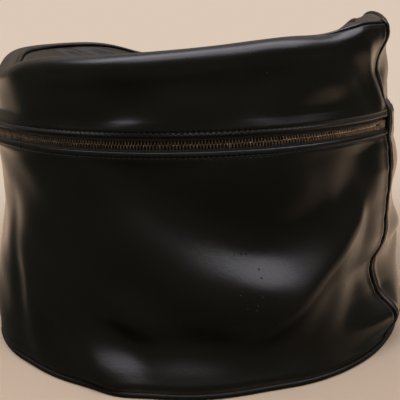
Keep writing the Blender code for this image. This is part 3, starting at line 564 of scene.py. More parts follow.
def bar(half_length, half_width, half_height, corner):
    """A small rounded bar along X: a rounded cross-section that draws in at both ends."""
    turns = (np.arange(BAR_SIDES) + 0.5) * 2 * np.pi / BAR_SIDES
    y = squared_off(np.cos(turns), BAR_ROUNDNESS) * half_width
    z = squared_off(np.sin(turns), BAR_ROUNDNESS) * half_height
    ends = ((-1.0, 1.0 - corner), (-1.0 + corner / 2, 1.0), (1.0 - corner / 2, 1.0), (1.0, 1.0 - corner))
    rings = [np.stack([np.full(BAR_SIDES, x * half_length), y * s, z * s], axis=-1) for x, s in ends]
    return capped(np.array(rings), [[-half_length, 0.0, 0.0], [half_length, 0.0, 0.0]])


def bend_with_lid(piece):
    """Bakes the piece's place into its mesh; it is not bent to follow the lid."""
    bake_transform(piece)


# Finishes

class Recipe:
    """The node tree of a finish or of the room, with short ways to add nodes and to join them."""

    def __init__(self, owner):
        owner.use_nodes = True
        self.owner = owner
        self.nodes, self.links = owner.node_tree.nodes, owner.node_tree.links
        self.shader = self.nodes.get("Principled BSDF")
        coordinates = self.nodes.new("ShaderNodeTexCoord").outputs
        self.place = coordinates["Object" if self.shader else "Generated"]
        self.normal = None

    def put(self, target, value):
        """Joins an input to a socket, or sets it to a number or a colour."""
        if isinstance(value, bpy.types.NodeSocket):
            self.links.new(value, target)
        else:
            target.default_value = (*value, 1.0) if target.type == "RGBA" else value

    def fill(self, made, **inputs):
        """Joins or sets a node's inputs by name."""
        for key, value in inputs.items():
            self.put(made.inputs[key.replace("_", " ")], value)
        return made

    def add(self, kind, **inputs):
        """A new node of one kind."""
        return self.fill(self.nodes.new("ShaderNode" + kind), **inputs)

    def surface(self, **inputs):
        """Joins or sets inputs of the surface's shader."""
        self.fill(self.shader, **inputs)

    def noise(self, scale, detail, roughness=0.5):
        """A cloudy noise over the piece, about 0.5."""
        made = self.add("TexNoise", Vector=self.place, Scale=scale, Detail=detail, Roughness=roughness)
        return made.outputs["Fac"]

    def attribute(self, name):
        """A named value that the piece's mesh carries."""
        made = self.add("Attribute")
        made.attribute_name = name
        return made.outputs["Fac"]

    def math(self, operation, first, second=0.0):
        """One sum of two sockets or numbers."""
        made = self.add("Math")
        made.operation = operation
        self.put(made.inputs[0], first)
        self.put(made.inputs[1], second)
        return made.outputs[0]

    def times(self, *factors):
        """The product of sockets and numbers."""
        product = factors[0]
        for factor in factors[1:]:
            product = self.math("MULTIPLY", product, factor)
        return product

    def vector(self, operation, first, second=None):
        """The length of a vector, or how far it runs along another."""
        made = self.add("VectorMath")
        made.operation = operation
        self.put(made.inputs[0], first)
        if second is not None:
            self.put(made.inputs[1], second)
        return made.outputs["Value"]

    def ramp(self, source, low, high, start=0.0, end=1.0):
        """A socket mapped from one range to another, clamped."""
        made = self.add("MapRange", Value=source, From_Min=low, From_Max=high, To_Min=start, To_Max=end)
        return made.outputs["Result"]

    def mixed(self, share, first, second):
        """Two colours mixed by a socket."""
        made = self.add("Mix")
        made.data_type = "RGBA"
        self.fill(made, Factor=share)
        for key, value in (("A", first), ("B", second)):
            self.put([s for s in made.inputs if s.name == key and s.type == "RGBA"][0], value)
        return [s for s in made.outputs if s.type == "RGBA"][0]

    def either(self, share, first, second):
        """Two shaders mixed by a socket."""
        made = self.add("MixShader")
        for number, value in enumerate((share, first.outputs[0], second.outputs[0])):
            self.links.new(value, made.inputs[number])
        return made

    def bump(self, height, strength, distance):
        """A bump over those that the surface already has."""
        made = self.add("Bump", Height=height, Strength=strength, Distance=distance)
        if self.normal is not None:
            self.links.new(self.normal, made.inputs["Normal"])
        self.normal = made.outputs["Normal"]
        self.surface(Normal=self.normal)


# The leathercloth's noises: scale, detail and roughness. Its ramps: from and to, and what they
# become. Its bumps: strength and depth
BROAD_NOISE, TONE_RAMP, BLUNT_RAMP = (9.0, 3.0), (0.35, 0.7, 0.0, 0.6), (0.3, 0.7)
WEAR_NOISE, WEAR_RAMP = (60.0, 6.0, 0.75), (0.35, 0.65, 0.45, 1.0)
CREASE_NOISE, CREASE_BUMP, GRAIN_BUMP = (240.0, 3.0, 0.6), (0.25, 0.0003), (0.22, 0.00018)
HOLE_RAMP, HOLE_BUMP = (0.2, 1.0, 0.0, -1.0), (1.0, 0.0011)

# Its pits: how many dots to a metre, which of them are pits and where, their edge, depth and colour
PIT_SCALE, PIT_CHOICE, PIT_DUST = 230.0, (0.70, 0.74), (0.25, 0.35)
PIT_EDGE, PIT_BUMP, PIT_COLOR = (0.10, 0.20, 1.0, 0.0), (1.0, 0.0009), (0.016, 0.014, 0.012)

# How much smoother or blunter it is here and there, where it is worn, and in the pits
SMOOTHER, BLUNTER, WORN_BLUNTER, PIT_BLUNTER = 0.03, 0.05, 0.12, 0.3


def leather_finish(name, settings, roughness):
    """Black leathercloth: pebble grain, soft sheen, brown wear on the edges, dust, pits and scuffs,
    and stitch holes where the mesh says that it is sewn."""
    cloth = Recipe(bpy.data.materials.new(name))
    broad = cloth.noise(*BROAD_NOISE)
    wear = cloth.ramp(cloth.noise(*WEAR_NOISE), *WEAR_RAMP)
    wear = cloth.times(cloth.attribute("worn"), wear)
    dusty = cloth.attribute("dusty")
    dots = cloth.add("TexVoronoi", Vector=cloth.place, Scale=PIT_SCALE, Randomness=1.0).outputs
    pick = cloth.add("SeparateColor", Color=dots["Color"]).outputs["Red"]
    chosen = cloth.times(cloth.ramp(pick, *PIT_CHOICE), cloth.ramp(dusty, *PIT_DUST))
    speck = cloth.times(cloth.ramp(dots["Distance"], *PIT_EDGE), chosen, dusty)
    color = cloth.mixed(cloth.ramp(broad, *TONE_RAMP), settings.color, settings.brown_color)
    color = cloth.mixed(wear, color, settings.worn_color)
    color = cloth.mixed(speck, color, PIT_COLOR)
    blunt = cloth.ramp(broad, *BLUNT_RAMP, roughness - SMOOTHER, roughness + BLUNTER)
    blunt = cloth.math("ADD", blunt, cloth.times(wear, WORN_BLUNTER))
    blunt = cloth.math("ADD", blunt, cloth.times(speck, PIT_BLUNTER))
    cloth.surface(Base_Color=color, Roughness=blunt, Specular_IOR_Level=settings.shine)
    grain = cloth.add("TexVoronoi", Vector=cloth.place, Scale=1.0 / settings.grain_size)
    cloth.bump(grain.outputs["Distance"], *GRAIN_BUMP)
    cloth.bump(cloth.noise(*CREASE_NOISE), *CREASE_BUMP)
    cloth.bump(cloth.times(speck, -1.0), *PIT_BUMP)
    axes = cloth.add("SeparateXYZ", Vector=cloth.place).outputs
    turn = cloth.math("ARCTAN2", axes["X"], cloth.times(axes["Y"], -1.0))
    wave = cloth.math("COSINE", cloth.times(turn, float(stitches_round())))
    cloth.bump(cloth.times(cloth.ramp(wave, *HOLE_RAMP), cloth.attribute("sewn")), *HOLE_BUMP)
    return cloth.owner


def stitches_round():
    """How many stitches would run right round the bag at the stitch pitch."""
    return round(360.0 / side_step(bpy.context.scene.drum_bag_sewing.stitch_pitch))


def cloth_finish(name, color, pale, scale, depth, roughness):
    """A matt woven or felted cloth: crossed threads with a loose fibre noise over them."""
    cloth = Recipe(bpy.data.materials.new(name))
    weave = cloth.add("TexWave", Vector=cloth.place, Scale=scale * 0.8, Distortion=1.5, Detail=1.0)
    weave.bands_direction = "Z"
    threads = cloth.times(cloth.noise(scale, 5.0, 0.7), weave.outputs["Fac"])
    cloth.surface(Base_Color=cloth.mixed(cloth.ramp(threads, 0.1, 0.6), color, pale),
                  Roughness=roughness, Specular_IOR_Level=0.2, Sheen_Weight=0.15)
    cloth.bump(threads, 0.6, depth)
    return cloth.owner


def board_finish(name, color, pale):
    """Pressed fibreboard with flecks."""
    board = Recipe(bpy.data.materials.new(name))
    flecks = board.noise(320.0, 6.0, 0.8)
    board.surface(Base_Color=board.mixed(board.ramp(flecks, 0.4, 0.65), color, pale), Roughness=0.85)
    board.bump(flecks, 0.4, 0.0003)
    return board.owner


def metal_finish(name, color, dull_color, roughness, scale):
    """A worn metal: dulled and brighter in cloudy patches of a noise, with fine scratches."""
    metal = Recipe(bpy.data.materials.new(name))
    stain = metal.noise(scale, 5.0, 0.7)
    metal.surface(Base_Color=metal.mixed(metal.ramp(stain, 0.38, 0.62), color, dull_color), Metallic=1.0,
                  Roughness=metal.ramp(stain, 0.3, 0.7, roughness, roughness + 0.18))
    metal.bump(metal.noise(scale * 8, 2.0), 0.15, 0.0001)
    return metal.owner


FINISHES = {}


def finish(look):
    """One of the bag's finishes, made once for all of its pieces."""
    leather = bpy.context.scene.drum_bag_leather
    trim = bpy.context.scene.drum_bag_trim
    recipes = {
        "leather": (leather_finish, "black_leathercloth", leather, leather.roughness),
        "rubbed": (leather_finish, "rubbed_leathercloth", leather, leather.roughness + 0.25),
        "backing": (cloth_finish, "grey_fleece_backing", (0.10, 0.09, 0.08), trim.fleece_color,
                    420.0, 0.0006, 0.95),
        "binding": (cloth_finish, "black_binding_tape", (0.006, 0.006, 0.006), (0.03, 0.028, 0.026),
                    700.0, 0.0003, 0.85),
        "tape": (cloth_finish, "black_zip_tape", (0.004, 0.0035, 0.003), (0.018, 0.015, 0.013),
                 900.0, 0.0002, 0.9),
        "thread": (cloth_finish, "black_thread", (0.004, 0.004, 0.004), (0.02, 0.019, 0.018),
                   1500.0, 0.0001, 0.6),
        "board": (board_finish, "brown_fibreboard", (0.17, 0.11, 0.065), (0.30, 0.21, 0.13)),
        "brass": (metal_finish, "dulled_brass", trim.brass_color, trim.dull_brass_color, 0.34, 260.0),
        "nickel": (metal_finish, "nickel", (0.58, 0.57, 0.54), (0.36, 0.34, 0.31), 0.26, 180.0),
    }
    if look not in FINISHES:
        make, *settings = recipes[look]
        FINISHES[look] = make(*settings)
    return FINISHES[look]


def placed(piece, replaced=(), body=None):
    """Hide the imported nodes that a piece stands for, and attach it to the body it rides on."""
    if replaced:
        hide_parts(*replaced)
    if body:
        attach(piece, body)
    return piece


# Surfaces of the panels

UPPER_EDGE = ZIP_HEIGHT + FLAP_GAP_ABOVE
LOWER_EDGE = ZIP_HEIGHT - FLAP_GAP_BELOW
UPPER_LINE = UPPER_EDGE + 0.0028
LOWER_LINE = LOWER_EDGE - 0.0036

# Rows up a panel: step, closer step at both ends and reach of the ends. Where a panel runs on over
# the shoulder, the last few close rows are left off, and rows of the band and the roll follow
WALL_ROWS = (0.0026, 0.0007, 0.0084)
REAR_ROWS, REAR_ROWS_OFF = (0.0028, 0.0008, 0.0072), 6
LID_ROWS, LID_ROWS_OFF, LID_ROWS_REACH = (0.0012, 0.0006, 0.006), 8, 0.016
BAND_ROWS, ROLL_ROWS = 16, 15

# Columns of a panel and of the top, in degrees, and rings of the top, closer together at its seam
FRONT_COLUMN_STEP, REAR_COLUMN_STEP, COLUMN_ENDS = 0.74, 0.80, (0.22, 1.98)
TOP_COLUMN_STEP, TOP_RINGS, TOP_RING_POWER = 1.25, 64, 1.25

# Edges of the sewn panels. An edge is how deep it turns in and over what reach; a swell beside it
# is its size, distance from the edge and half width. The roll's are shares of its arc
SEAM_EDGE, SEAM_SWELL = (0.0013, 0.0019), (0.0007, 0.0045, 0.0028)
FOOT_EDGE, FOOT_SWELL = (0.0012, 0.0018), (0.0007, 0.0052, 0.0026)
ROLL_EDGE, ROLL_SWELL = (0.0011, 0.10), (0.0004, 0.76, 0.12)
TOP_EDGE = (0.0010, 0.010)

# Each flap is padded between its edge and its stitches, grooved along them and swollen beyond:
# sizes and half widths, then edge, stitch line, side of the zip and the swell beyond the line
FLAP_PAD, STITCH_GROOVE = (0.0009, 0.0011), (0.00045, 0.0007)
FLAPS = (
    (UPPER_EDGE, UPPER_LINE, 1.0, (0.0004, 0.0022, 0.0012)),
    (LOWER_EDGE, LOWER_LINE, -1.0, (0.0001, 0.0022, 0.0012)),
)
FLAP_RUN_ANGLE = 0.2

# Low waves of the base's upper sides: height, and waves each way
BASE_WAVE, BASE_WAVES = 0.0002, (90.0, 75.0)

# Puckers beside a seam: share of the depth, length of one wave and its start
PUCKERS = ((1.0, 0.017, 1.0), (0.6, 0.0091, 2.3))
PUCKER_DEPTH, PUCKER_REACH = 0.0003, 0.012

# How rubbed the leathercloth is, up to 1, and over what reach: at the side seams, the foot, the
# rolled edge in rows, the top's edge; and round an angle, at the peaks of the rear panel and the top
RUBBED_SEAM, RUBBED_FOOT, RUBBED_ROLL, RUBBED_TOP = (1.0, 0.0024), (0.7, 0.002), (0.8, 2.5), (0.8, 0.012)
RUBBED_PEAK, RUBBED_TOP_PEAK = (0.9, 140.0, 14.0), (0.9, 0.0, 20.0)
RUBBED_PEAK_FOOT, RUBBED_PEAK_RUN = 0.235, 0.03
TOP_PEAK_ANGLE, TOP_PEAK_START, TOP_PEAK_RUN = 134.0, 0.80, 0.12

# Dust all over the wall, the top and the plain pieces, and its patches on the wall: angle, height,
# half width in degrees, half height and strength
DUST_VEIL, TOP_DUST, PLAIN_DUST = 0.10, 0.35, 0.2
DUST_PATCHES = (
    (78.5, 0.086, 5.0, 0.020, 1.0),
    (48.0, 0.225, 4.0, 0.010, 0.5),
    (84.0, 0.045, 4.0, 0.012, 0.6),
    (108.0, 0.070, 8.0, 0.020, 0.5),
    (16.0, 0.020, 2.5, 0.007, 0.9),
    (36.0, 0.035, 2.0, 0.006, 0.9),
    (85.0, 0.235, 2.5, 0.006, 0.8),
)


def edge_roll(distance, depth, reach):
    """How far a panel's edge turns in: a half bell of the distance from it."""
    return depth * bell(np.maximum(distance, 0.0), reach)


def soft_swell(distance, size, middle, width):
    """A swell beside an edge: a bell round its own distance from it."""
    return size * bell(distance - middle, width)


def seam_distance(angle):
    """Distance along the wall from the nearest side seam's sewn edge."""
    turned = np.abs(wrapped(angle))
    ahead = np.where(turned < SEAM_ANGLE, PANEL_EDGE - turned, turned - REAR_EDGE)
    return ahead * math.radians(1.0) * BAG_RADIUS


def seam_gather(distance, height):
    """Small puckers beside a seam: two waves along it that die away from it."""
    wave = sum(share * np.sin(height * 2 * np.pi / length + start) for share, length, start in PUCKERS)
    return PUCKER_DEPTH * wave * np.exp(-np.maximum(distance, 0.0) / PUCKER_REACH)


def panel_radius(angle, height):
    """The wall as sewn panels: its edges turn in and pucker at the side seams, base and flaps."""
    distance = seam_distance(angle)
    radius = wall_radius(angle, height) - edge_roll(distance, *SEAM_EDGE)
    radius = radius + soft_swell(distance, *SEAM_SWELL) + seam_gather(distance, height)
    rise = height - WALL_FOOT
    radius = radius - edge_roll(rise, *FOOT_EDGE) + soft_swell(rise, *FOOT_SWELL)
    front = smooth((PANEL_EDGE + FLAP_RUN_ANGLE - np.abs(wrapped(angle))) / FLAP_RUN_ANGLE)
    for edge, line, side, beyond in FLAPS:
        flap = soft_swell(height, FLAP_PAD[0], (edge + line) / 2, FLAP_PAD[1])
        flap = flap - soft_swell(height, STITCH_GROOVE[0], line, STITCH_GROOVE[1])
        radius = radius + (flap + soft_swell(side * (height - line), *beyond)) * front
    return radius


def dust_cover(angle, height):
    """Where dust and scuffs lie: a few patches on the front and a thin veil elsewhere."""
    cover = DUST_VEIL
    for centre, level, width, depth, share in DUST_PATCHES:
        across, up = wrapped(angle - centre) / width, (height - level) / depth
        cover = cover + share * np.exp(-across ** 2 - up ** 2)
    return np.clip(cover, 0.0, 1.0)


def panel_rows(angles, heights, over_shoulder, inset):
    """Rows up a panel: level rows, and if asked, rows up to the shoulder's foot and over its arc."""
    grid_angle, grid_height = np.meshgrid(angles, heights)
    rows = polar(grid_angle, panel_radius(grid_angle, grid_height) - inset, grid_height)
    if not over_shoulder:
        return rows
    foot = shoulder_point(angles, 0.0, 0.0)[1][None]
    share = np.linspace(0.0, 1.0, BAND_ROWS)[1:, None]
    height = heights[-1] + (foot - heights[-1]) * share
    wide = np.broadcast_to(angles[None], height.shape)
    band = polar(wide, panel_radius(wide, height) - inset, height)
    share = np.linspace(0.0, 1.0, ROLL_ROWS)[1:, None]
    edge = edge_roll(1.0 - share, *ROLL_EDGE) - soft_swell(share, *ROLL_SWELL)
    radius, height, _ = shoulder_point(wide[:1], share, inset + edge)
    return np.concatenate([rows, band, polar(wide[:1], radius, height)])


def panel(name, angles, heights, over_shoulder=False):
    """A wall panel of leathercloth with a fleece back, rubbed at its edges and holed by stitches."""
    outer, inner = (panel_rows(angles, heights, over_shoulder, inset) for inset in (0.0, SKIN))
    angle, height = np.degrees(np.arctan2(outer[..., 0], -outer[..., 1])), outer[..., 2]
    worn = edge_roll(seam_distance(angle), *RUBBED_SEAM)
    worn = np.maximum(worn, soft_swell(height, RUBBED_FOOT[0], WALL_FOOT, RUBBED_FOOT[1]))
    if over_shoulder:
        rows_left = np.arange(len(outer))[::-1, None]
        peak = smooth((height - RUBBED_PEAK_FOOT) / RUBBED_PEAK_RUN) * (angle > SEAM_ANGLE)
        worn = np.maximum(worn, edge_roll(rows_left, *RUBBED_ROLL))
        worn = np.maximum(worn, soft_swell(angle, *RUBBED_PEAK) * peak)
    sewn = sum(bell(height - line, STITCH_REACH) for line in (UPPER_LINE, LOWER_LINE))
    sewn = sewn * (np.abs(wrapped(angle)) < SEAM_ANGLE)
    values = {"worn": worn, "dusty": dust_cover(angle, height), "sewn": sewn}
    return closed_sheet(name, outer, inner, ["leather", "backing"], values)


def panel_angles(low, high, step):
    """Columns of a panel, closer together at its ends."""
    return graded(low, high, step, *COLUMN_ENDS)


def stitches(name, places, frames):
    """Stitches: one small rounded bar of thread at every place."""
    sewing = bpy.context.scene.drum_bag_sewing
    width = sewing.thread_width
    shape, faces = bar(sewing.stitch_length / 2, width / 2, width * THREAD_FLATNESS, THREAD_CORNER)
    return repeated(name, shape, faces, places, frames, "thread")


def stitch_row(name, height):
    """Stitches along a flap: at an even pitch from seam to seam, each laid in the surface."""
    step = 360.0 / stitches_round()
    half = int((PANEL_EDGE - STITCH_END_ANGLE) / step)
    angles = (np.arange(-half, half) + 0.5) * step
    return stitches(name, *panel_frames(angles, np.full(len(angles), height), STITCH_LIFT))


def panel_frames(angles, heights, lift):
    """Places on the sewn skin and their frames: round the bag, up the wall and outward."""
    step, rise = 0.25, 0.0016
    here = polar(angles, panel_radius(angles, heights), heights)
    along = unit_rows(polar(angles + step, panel_radius(angles + step, heights), heights) - here)
    up = polar(angles, wall_radius(angles, heights + rise), heights + rise)
    up = up - polar(angles, wall_radius(angles, heights), heights)
    out = unit_rows(np.cross(along, up))
    return here + out * lift, np.stack([along, np.cross(out, along), out], axis=1)


def top_folds(x, y, share):
    """Creases of the slack top panel: each is a bell across its line, and fades at the seam."""
    total = 0.0
    for cx, cy, tilt, length, width, size, fade in TOP_FOLDS:
        c, n = math.cos(math.radians(tilt)), math.sin(math.radians(tilt))
        along = ((x - cx) * c + (y - cy) * n) / length
        across = ((y - cy) * c - (x - cx) * n) / width
        total = total + size * smooth((1.0 - share) / fade) * np.exp(-along ** 2 - across ** 2)
    return total


def top_rows(angles, shares, depth):
    """Rows of the top panel from its seam in: a dish hung from its edge, with its creases."""
    edge_radius, edge_height = past_shoulder(angles, TOP_EDGE_REACH, 0.0)
    share = shares[:, None]
    radius = edge_radius[None] * share
    floor = RIM_HEIGHT - HOLLOW_DEPTH
    height = floor + (edge_height[None] - floor) * share ** HOLLOW_POWER
    a = np.radians(angles)[None]
    x, y = radius * np.sin(a), -radius * np.cos(a)
    height = height + top_folds(x, y, share) - edge_roll(1.0 - share, *TOP_EDGE) - depth
    return np.stack([x, y, height], axis=-1)


def tape_strip(name, angles, low, high):
    """A strip of zip tape inside the skin, between two heights."""
    heights = np.linspace(low, high, max(3, int((high - low) / TAPE_STEP)))
    grid_angle, grid_height = np.meshgrid(angles, heights)
    radius = wall_radius(grid_angle, grid_height) - TAPE_INSET
    return strip(name, grid_angle, grid_height, radius, TAPE_THICKNESS, "tape")


def zip_teeth(name, low, high, side):
    """Teeth at an even pitch: small rounded bars across the zip, one row half a pitch on. They
    stand apart for the slider's post at both ends of its travel."""
    pitch = side_step(bpy.context.scene.drum_bag_sewing.tooth_pitch)
    shift = 0.0 if side > 0 else 0.5
    number = np.arange(math.ceil(low / pitch - shift), math.floor(high / pitch - shift) + 1)
    angles = (number + shift) * pitch
    shape, faces = bar((TOOTH_ROOT - TOOTH_TIP) / 2, TOOTH_HALF_WIDTH, TOOTH_THICKNESS / 2, TOOTH_CORNER)
    parted = sum(np.exp(-((angles - spot) / PARTED_HALF_ANGLE) ** 8) for spot in POST_SPOTS)
    middle = ZIP_HEIGHT + side * ((TOOTH_ROOT + TOOTH_TIP) / 2 + PARTED_LIFT * parted)
    out = polar(angles, 1.0, 0.0)
    up = np.broadcast_to([0.0, 0.0, side], out.shape)
    places = polar(angles, BAG_RADIUS - TOOTH_DEPTH - TOOTH_THICKNESS / 2, middle)
    return repeated(name, shape, faces, places, np.stack([up, np.cross(out, up), out], axis=1), "brass")


def plate(name, outline, low, high, soft, matrix, hole=None):
    """A flat brass plate with soft edges: a rounded profile carried round an outline, and round
    its hole if it has one; a matrix puts its points in place."""
    if hole is None:
        centre = outline.mean(axis=0)
        hole = centre + (outline - centre) * CLOSED_HOLE_SHARE

    def drawn(loop, distance):
        """The loop drawn in by a distance."""
        along = np.roll(loop, -1, axis=0) - np.roll(loop, 1, axis=0)
        return loop - unit_rows(np.stack([along[:, 1], -along[:, 0]], axis=1)) * distance

    part = soft * SOFT_EDGE_SHARE
    profile = (
        (outline, soft, low), (outline, part, low + part), (outline, 0.0, low + soft),
        (outline, 0.0, high - soft), (outline, part, high - part), (outline, soft, high),
        (hole, -part, high), (hole, 0.0, high - part), (hole, 0.0, low + part), (hole, -part, low),
    )
    rings = np.array([np.column_stack([drawn(l, d), np.full(len(l), z)]) for l, d, z in profile])
    points, faces = joined(rings)
    return make_mesh(name, moved(points, matrix), faces, [finish("brass")])


def spun(profile):
    """Rings of a turned piece: pairs of radius and height spun about the local Z axis."""
    turns = np.linspace(0.0, 2 * np.pi, TURNED_SIDES, endpoint=False)
    profile = np.asarray(profile)
    x, y = profile[:, :1] * np.cos(turns), profile[:, :1] * np.sin(turns)
    return np.stack([x, y, np.broadcast_to(profile[:, 1:], x.shape)], axis=-1)


def local_frame(angle, height):
    """A frame on the bag's circle: X round the bag, Y up and Z outward."""
    a = math.radians(angle)
    along = Vector((math.cos(a), math.sin(a), 0.0))
    outward = Vector((math.sin(a), -math.cos(a), 0.0))
    up = Vector((0.0, 0.0, 1.0))
    turned_frame = Matrix((along, up, along.cross(up))).transposed().to_4x4()
    return Matrix.Translation(outward * BAG_RADIUS + up * height) @ turned_frame


def loop_points(half_length, half_width, power, count=48):
    """A soft rectangle: cosine and sine raised to a power below one."""
    t = np.linspace(0.0, 2 * np.pi, count, endpoint=False)
    return np.column_stack([squared_off(np.cos(t), power) * half_length,
                            squared_off(np.sin(t), power) * half_width])


# Settings

class DrumBagLeather(bpy.types.PropertyGroup):
    """The leathercloth's looks."""
    color: FloatVectorProperty(
        name="Colour", description="Colour of the black leathercloth", subtype="COLOR", size=3,
        min=0.0, max=1.0, default=(0.0040, 0.0040, 0.0032))
    brown_color: FloatVectorProperty(
        name="Faded colour", description="Brownish tone where the black has faded", subtype="COLOR",
        size=3, min=0.0, max=1.0, default=(0.0070, 0.0057, 0.0042))
    worn_color: FloatVectorProperty(
        name="Worn colour", description="Tone of the rubbed edges by the seams", subtype="COLOR",
        size=3, min=0.0, max=1.0, default=(0.060, 0.045, 0.034))
    roughness: FloatProperty(
        name="Roughness", description="How blunt the leathercloth's reflections are",
        min=0.05, max=1.0, default=0.27)
    shine: FloatProperty(
        name="Shine", description="Strength of the leathercloth's reflections", min=0.0, max=1.0,
        default=0.22)
    grain_size: FloatProperty(
        name="Grain size", description="Width of one pebble of the grain", subtype="DISTANCE",
        min=0.0003, max=0.01, default=0.0013)


class DrumBagSewing(bpy.types.PropertyGroup):
    """Sizes of the stitches and the zip's teeth."""
    stitch_pitch: FloatProperty(
        name="Stitch pitch", description="Distance from stitch to stitch", subtype="DISTANCE",
        min=0.002, max=0.01, default=0.004)
    stitch_length: FloatProperty(
        name="Stitch length", description="Length of thread that shows in one stitch",
        subtype="DISTANCE", min=0.001, max=0.009, default=0.0031)
    thread_width: FloatProperty(
        name="Thread width", description="Thickness of the sewing thread", subtype="DISTANCE",
        min=0.0003, max=0.002, default=0.0008)
    tooth_pitch: FloatProperty(
        name="Tooth pitch", description="Distance from one zip tooth to the next of its row",
        subtype="DISTANCE", min=0.0015, max=0.006, default=0.0024)


class DrumBagTrim(bpy.types.PropertyGroup):
    """Colours of the cloth and metal trim."""
    fleece_color: FloatVectorProperty(
        name="Fleece", description="Colour of the grey fleece backing", subtype="COLOR", size=3,
        min=0.0, max=1.0, default=(0.20, 0.185, 0.17))
    brass_color: FloatVectorProperty(
        name="Brass", description="Colour of the zip's rubbed brass", subtype="COLOR", size=3,
        min=0.0, max=1.0, default=(0.64, 0.49, 0.385))
    dull_brass_color: FloatVectorProperty(
        name="Dull brass", description="Colour of the zip's dulled brass", subtype="COLOR", size=3,
        min=0.0, max=1.0, default=(0.28, 0.205, 0.155))


class DrumBagStage(bpy.types.PropertyGroup):
    """The studio round the bag."""
    floor_color: FloatVectorProperty(
        name="Floor", description="Colour of the floor round the bag", subtype="COLOR", size=3,
        min=0.0, max=1.0, default=(0.52, 0.40, 0.31))
    backdrop_color: FloatVectorProperty(
        name="Backdrop", description="Colour of the far floor and the background",
        subtype="COLOR", size=3, min=0.0, max=1.0, default=(0.72, 0.58, 0.47))
    key_power: FloatProperty(
        name="Key light", description="Power of the large soft light above the camera", unit="POWER",
        min=0.0, max=1000.0, default=30.0)
    fill_power: FloatProperty(
        name="Fill light", description="Power of the side light", unit="POWER", min=0.0, max=1000.0,
        default=7.0)
    room_level: FloatProperty(
        name="Room light", description="Strength of the even light from all round", min=0.0, max=2.0,
        default=0.45)
    panel_level: FloatProperty(
        name="Panel", description="Brightness of the soft overhead panel that the leathercloth mirrors",
        min=0.0, max=20.0, default=7.1)


# Pieces

class DRUMBAG_OT_wall(bpy.types.Operator):
    """Sew the front wall with its flap and its row of stitches"""
    bl_idname = "drumbag.wall"
    bl_label = "Front Wall"

    def execute(self, context):
        heights = graded(WALL_FOOT, LOWER_EDGE, *WALL_ROWS)
        angles = panel_angles(-PANEL_EDGE, PANEL_EDGE, FRONT_COLUMN_STEP)
        placed(panel("wall_front_panel", angles, heights), ["front_wall"], "wall")
        placed(stitch_row("wall_flap_stitches", LOWER_LINE), (), "wall")
        return {"FINISHED"}


class DRUMBAG_OT_rear(bpy.types.Operator):
    """Sew the rear panel, which runs unbroken from the base to the top seam"""
    bl_idname = "drumbag.rear"
    bl_label = "Rear Panel"

    def execute(self, context):
        heights = graded(WALL_FOOT, BAND_LEVEL, *REAR_ROWS)[:-REAR_ROWS_OFF]
        angles = panel_angles(REAR_EDGE, 360.0 - REAR_EDGE, REAR_COLUMN_STEP)
        placed(panel("rear_wall_panel", angles, heights, True), ["rear_panel"], "wall")
        return {"FINISHED"}


class DRUMBAG_OT_lid(bpy.types.Operator):
    """Sew the lid: its band over the shoulder, the slack top panel and the binding inside"""
    bl_idname = "drumbag.lid"
    bl_label = "Lid and Top"

    def execute(self, context):
        heights = graded(UPPER_EDGE, UPPER_EDGE + LID_ROWS_REACH, *LID_ROWS)[:-LID_ROWS_OFF]
        angles = panel_angles(-PANEL_EDGE, PANEL_EDGE, FRONT_COLUMN_STEP)
        bend_with_lid(placed(panel("lid_band_panel", angles, heights, True), ["lid_band"]))
        bend_with_lid(placed(stitch_row("lid_flap_stitches", UPPER_LINE)))
        around = np.arange(0.0, 360.0, TOP_COLUMN_STEP)
        shares = 1.0 - np.linspace(0.0, 1.0, TOP_RINGS)[:-1] ** TOP_RING_POWER
        outer, inner = (top_rows(around, shares, depth) for depth in (0.0, SKIN))
        poles = [top_rows(around[:1], np.array([0.0]), depth)[0, 0] for depth in (0.0, SKIN)]
        peak = soft_swell(wrapped(around - TOP_PEAK_ANGLE), *RUBBED_TOP_PEAK)[None]
        peak = peak * smooth((shares - TOP_PEAK_START) / TOP_PEAK_RUN)[:, None]
        worn = np.maximum(edge_roll(1.0 - shares, *RUBBED_TOP)[:, None], peak)
        values = {"worn": worn, "dusty": TOP_DUST}
        top = closed_sheet("top_panel", outer, inner, ["leather", "backing"], values, True, poles)
        bend_with_lid(placed(top, ["lid_top", "rear_top"]))
        shares = np.linspace(1.0, 1.0 - BINDING_WIDTH / BAG_RADIUS, 8)
        span = np.arange(-PANEL_EDGE, PANEL_EDGE, 1.5)
        rows = [top_rows(span, shares, SKIN + 2 * CLEARANCE + extra) for extra in (0.0, BINDING)]
        binding = closed_sheet("lid_binding", *rows, ["binding"])
        bend_with_lid(placed(binding, ["lid_seam_binding"]))
        return {"FINISHED"}


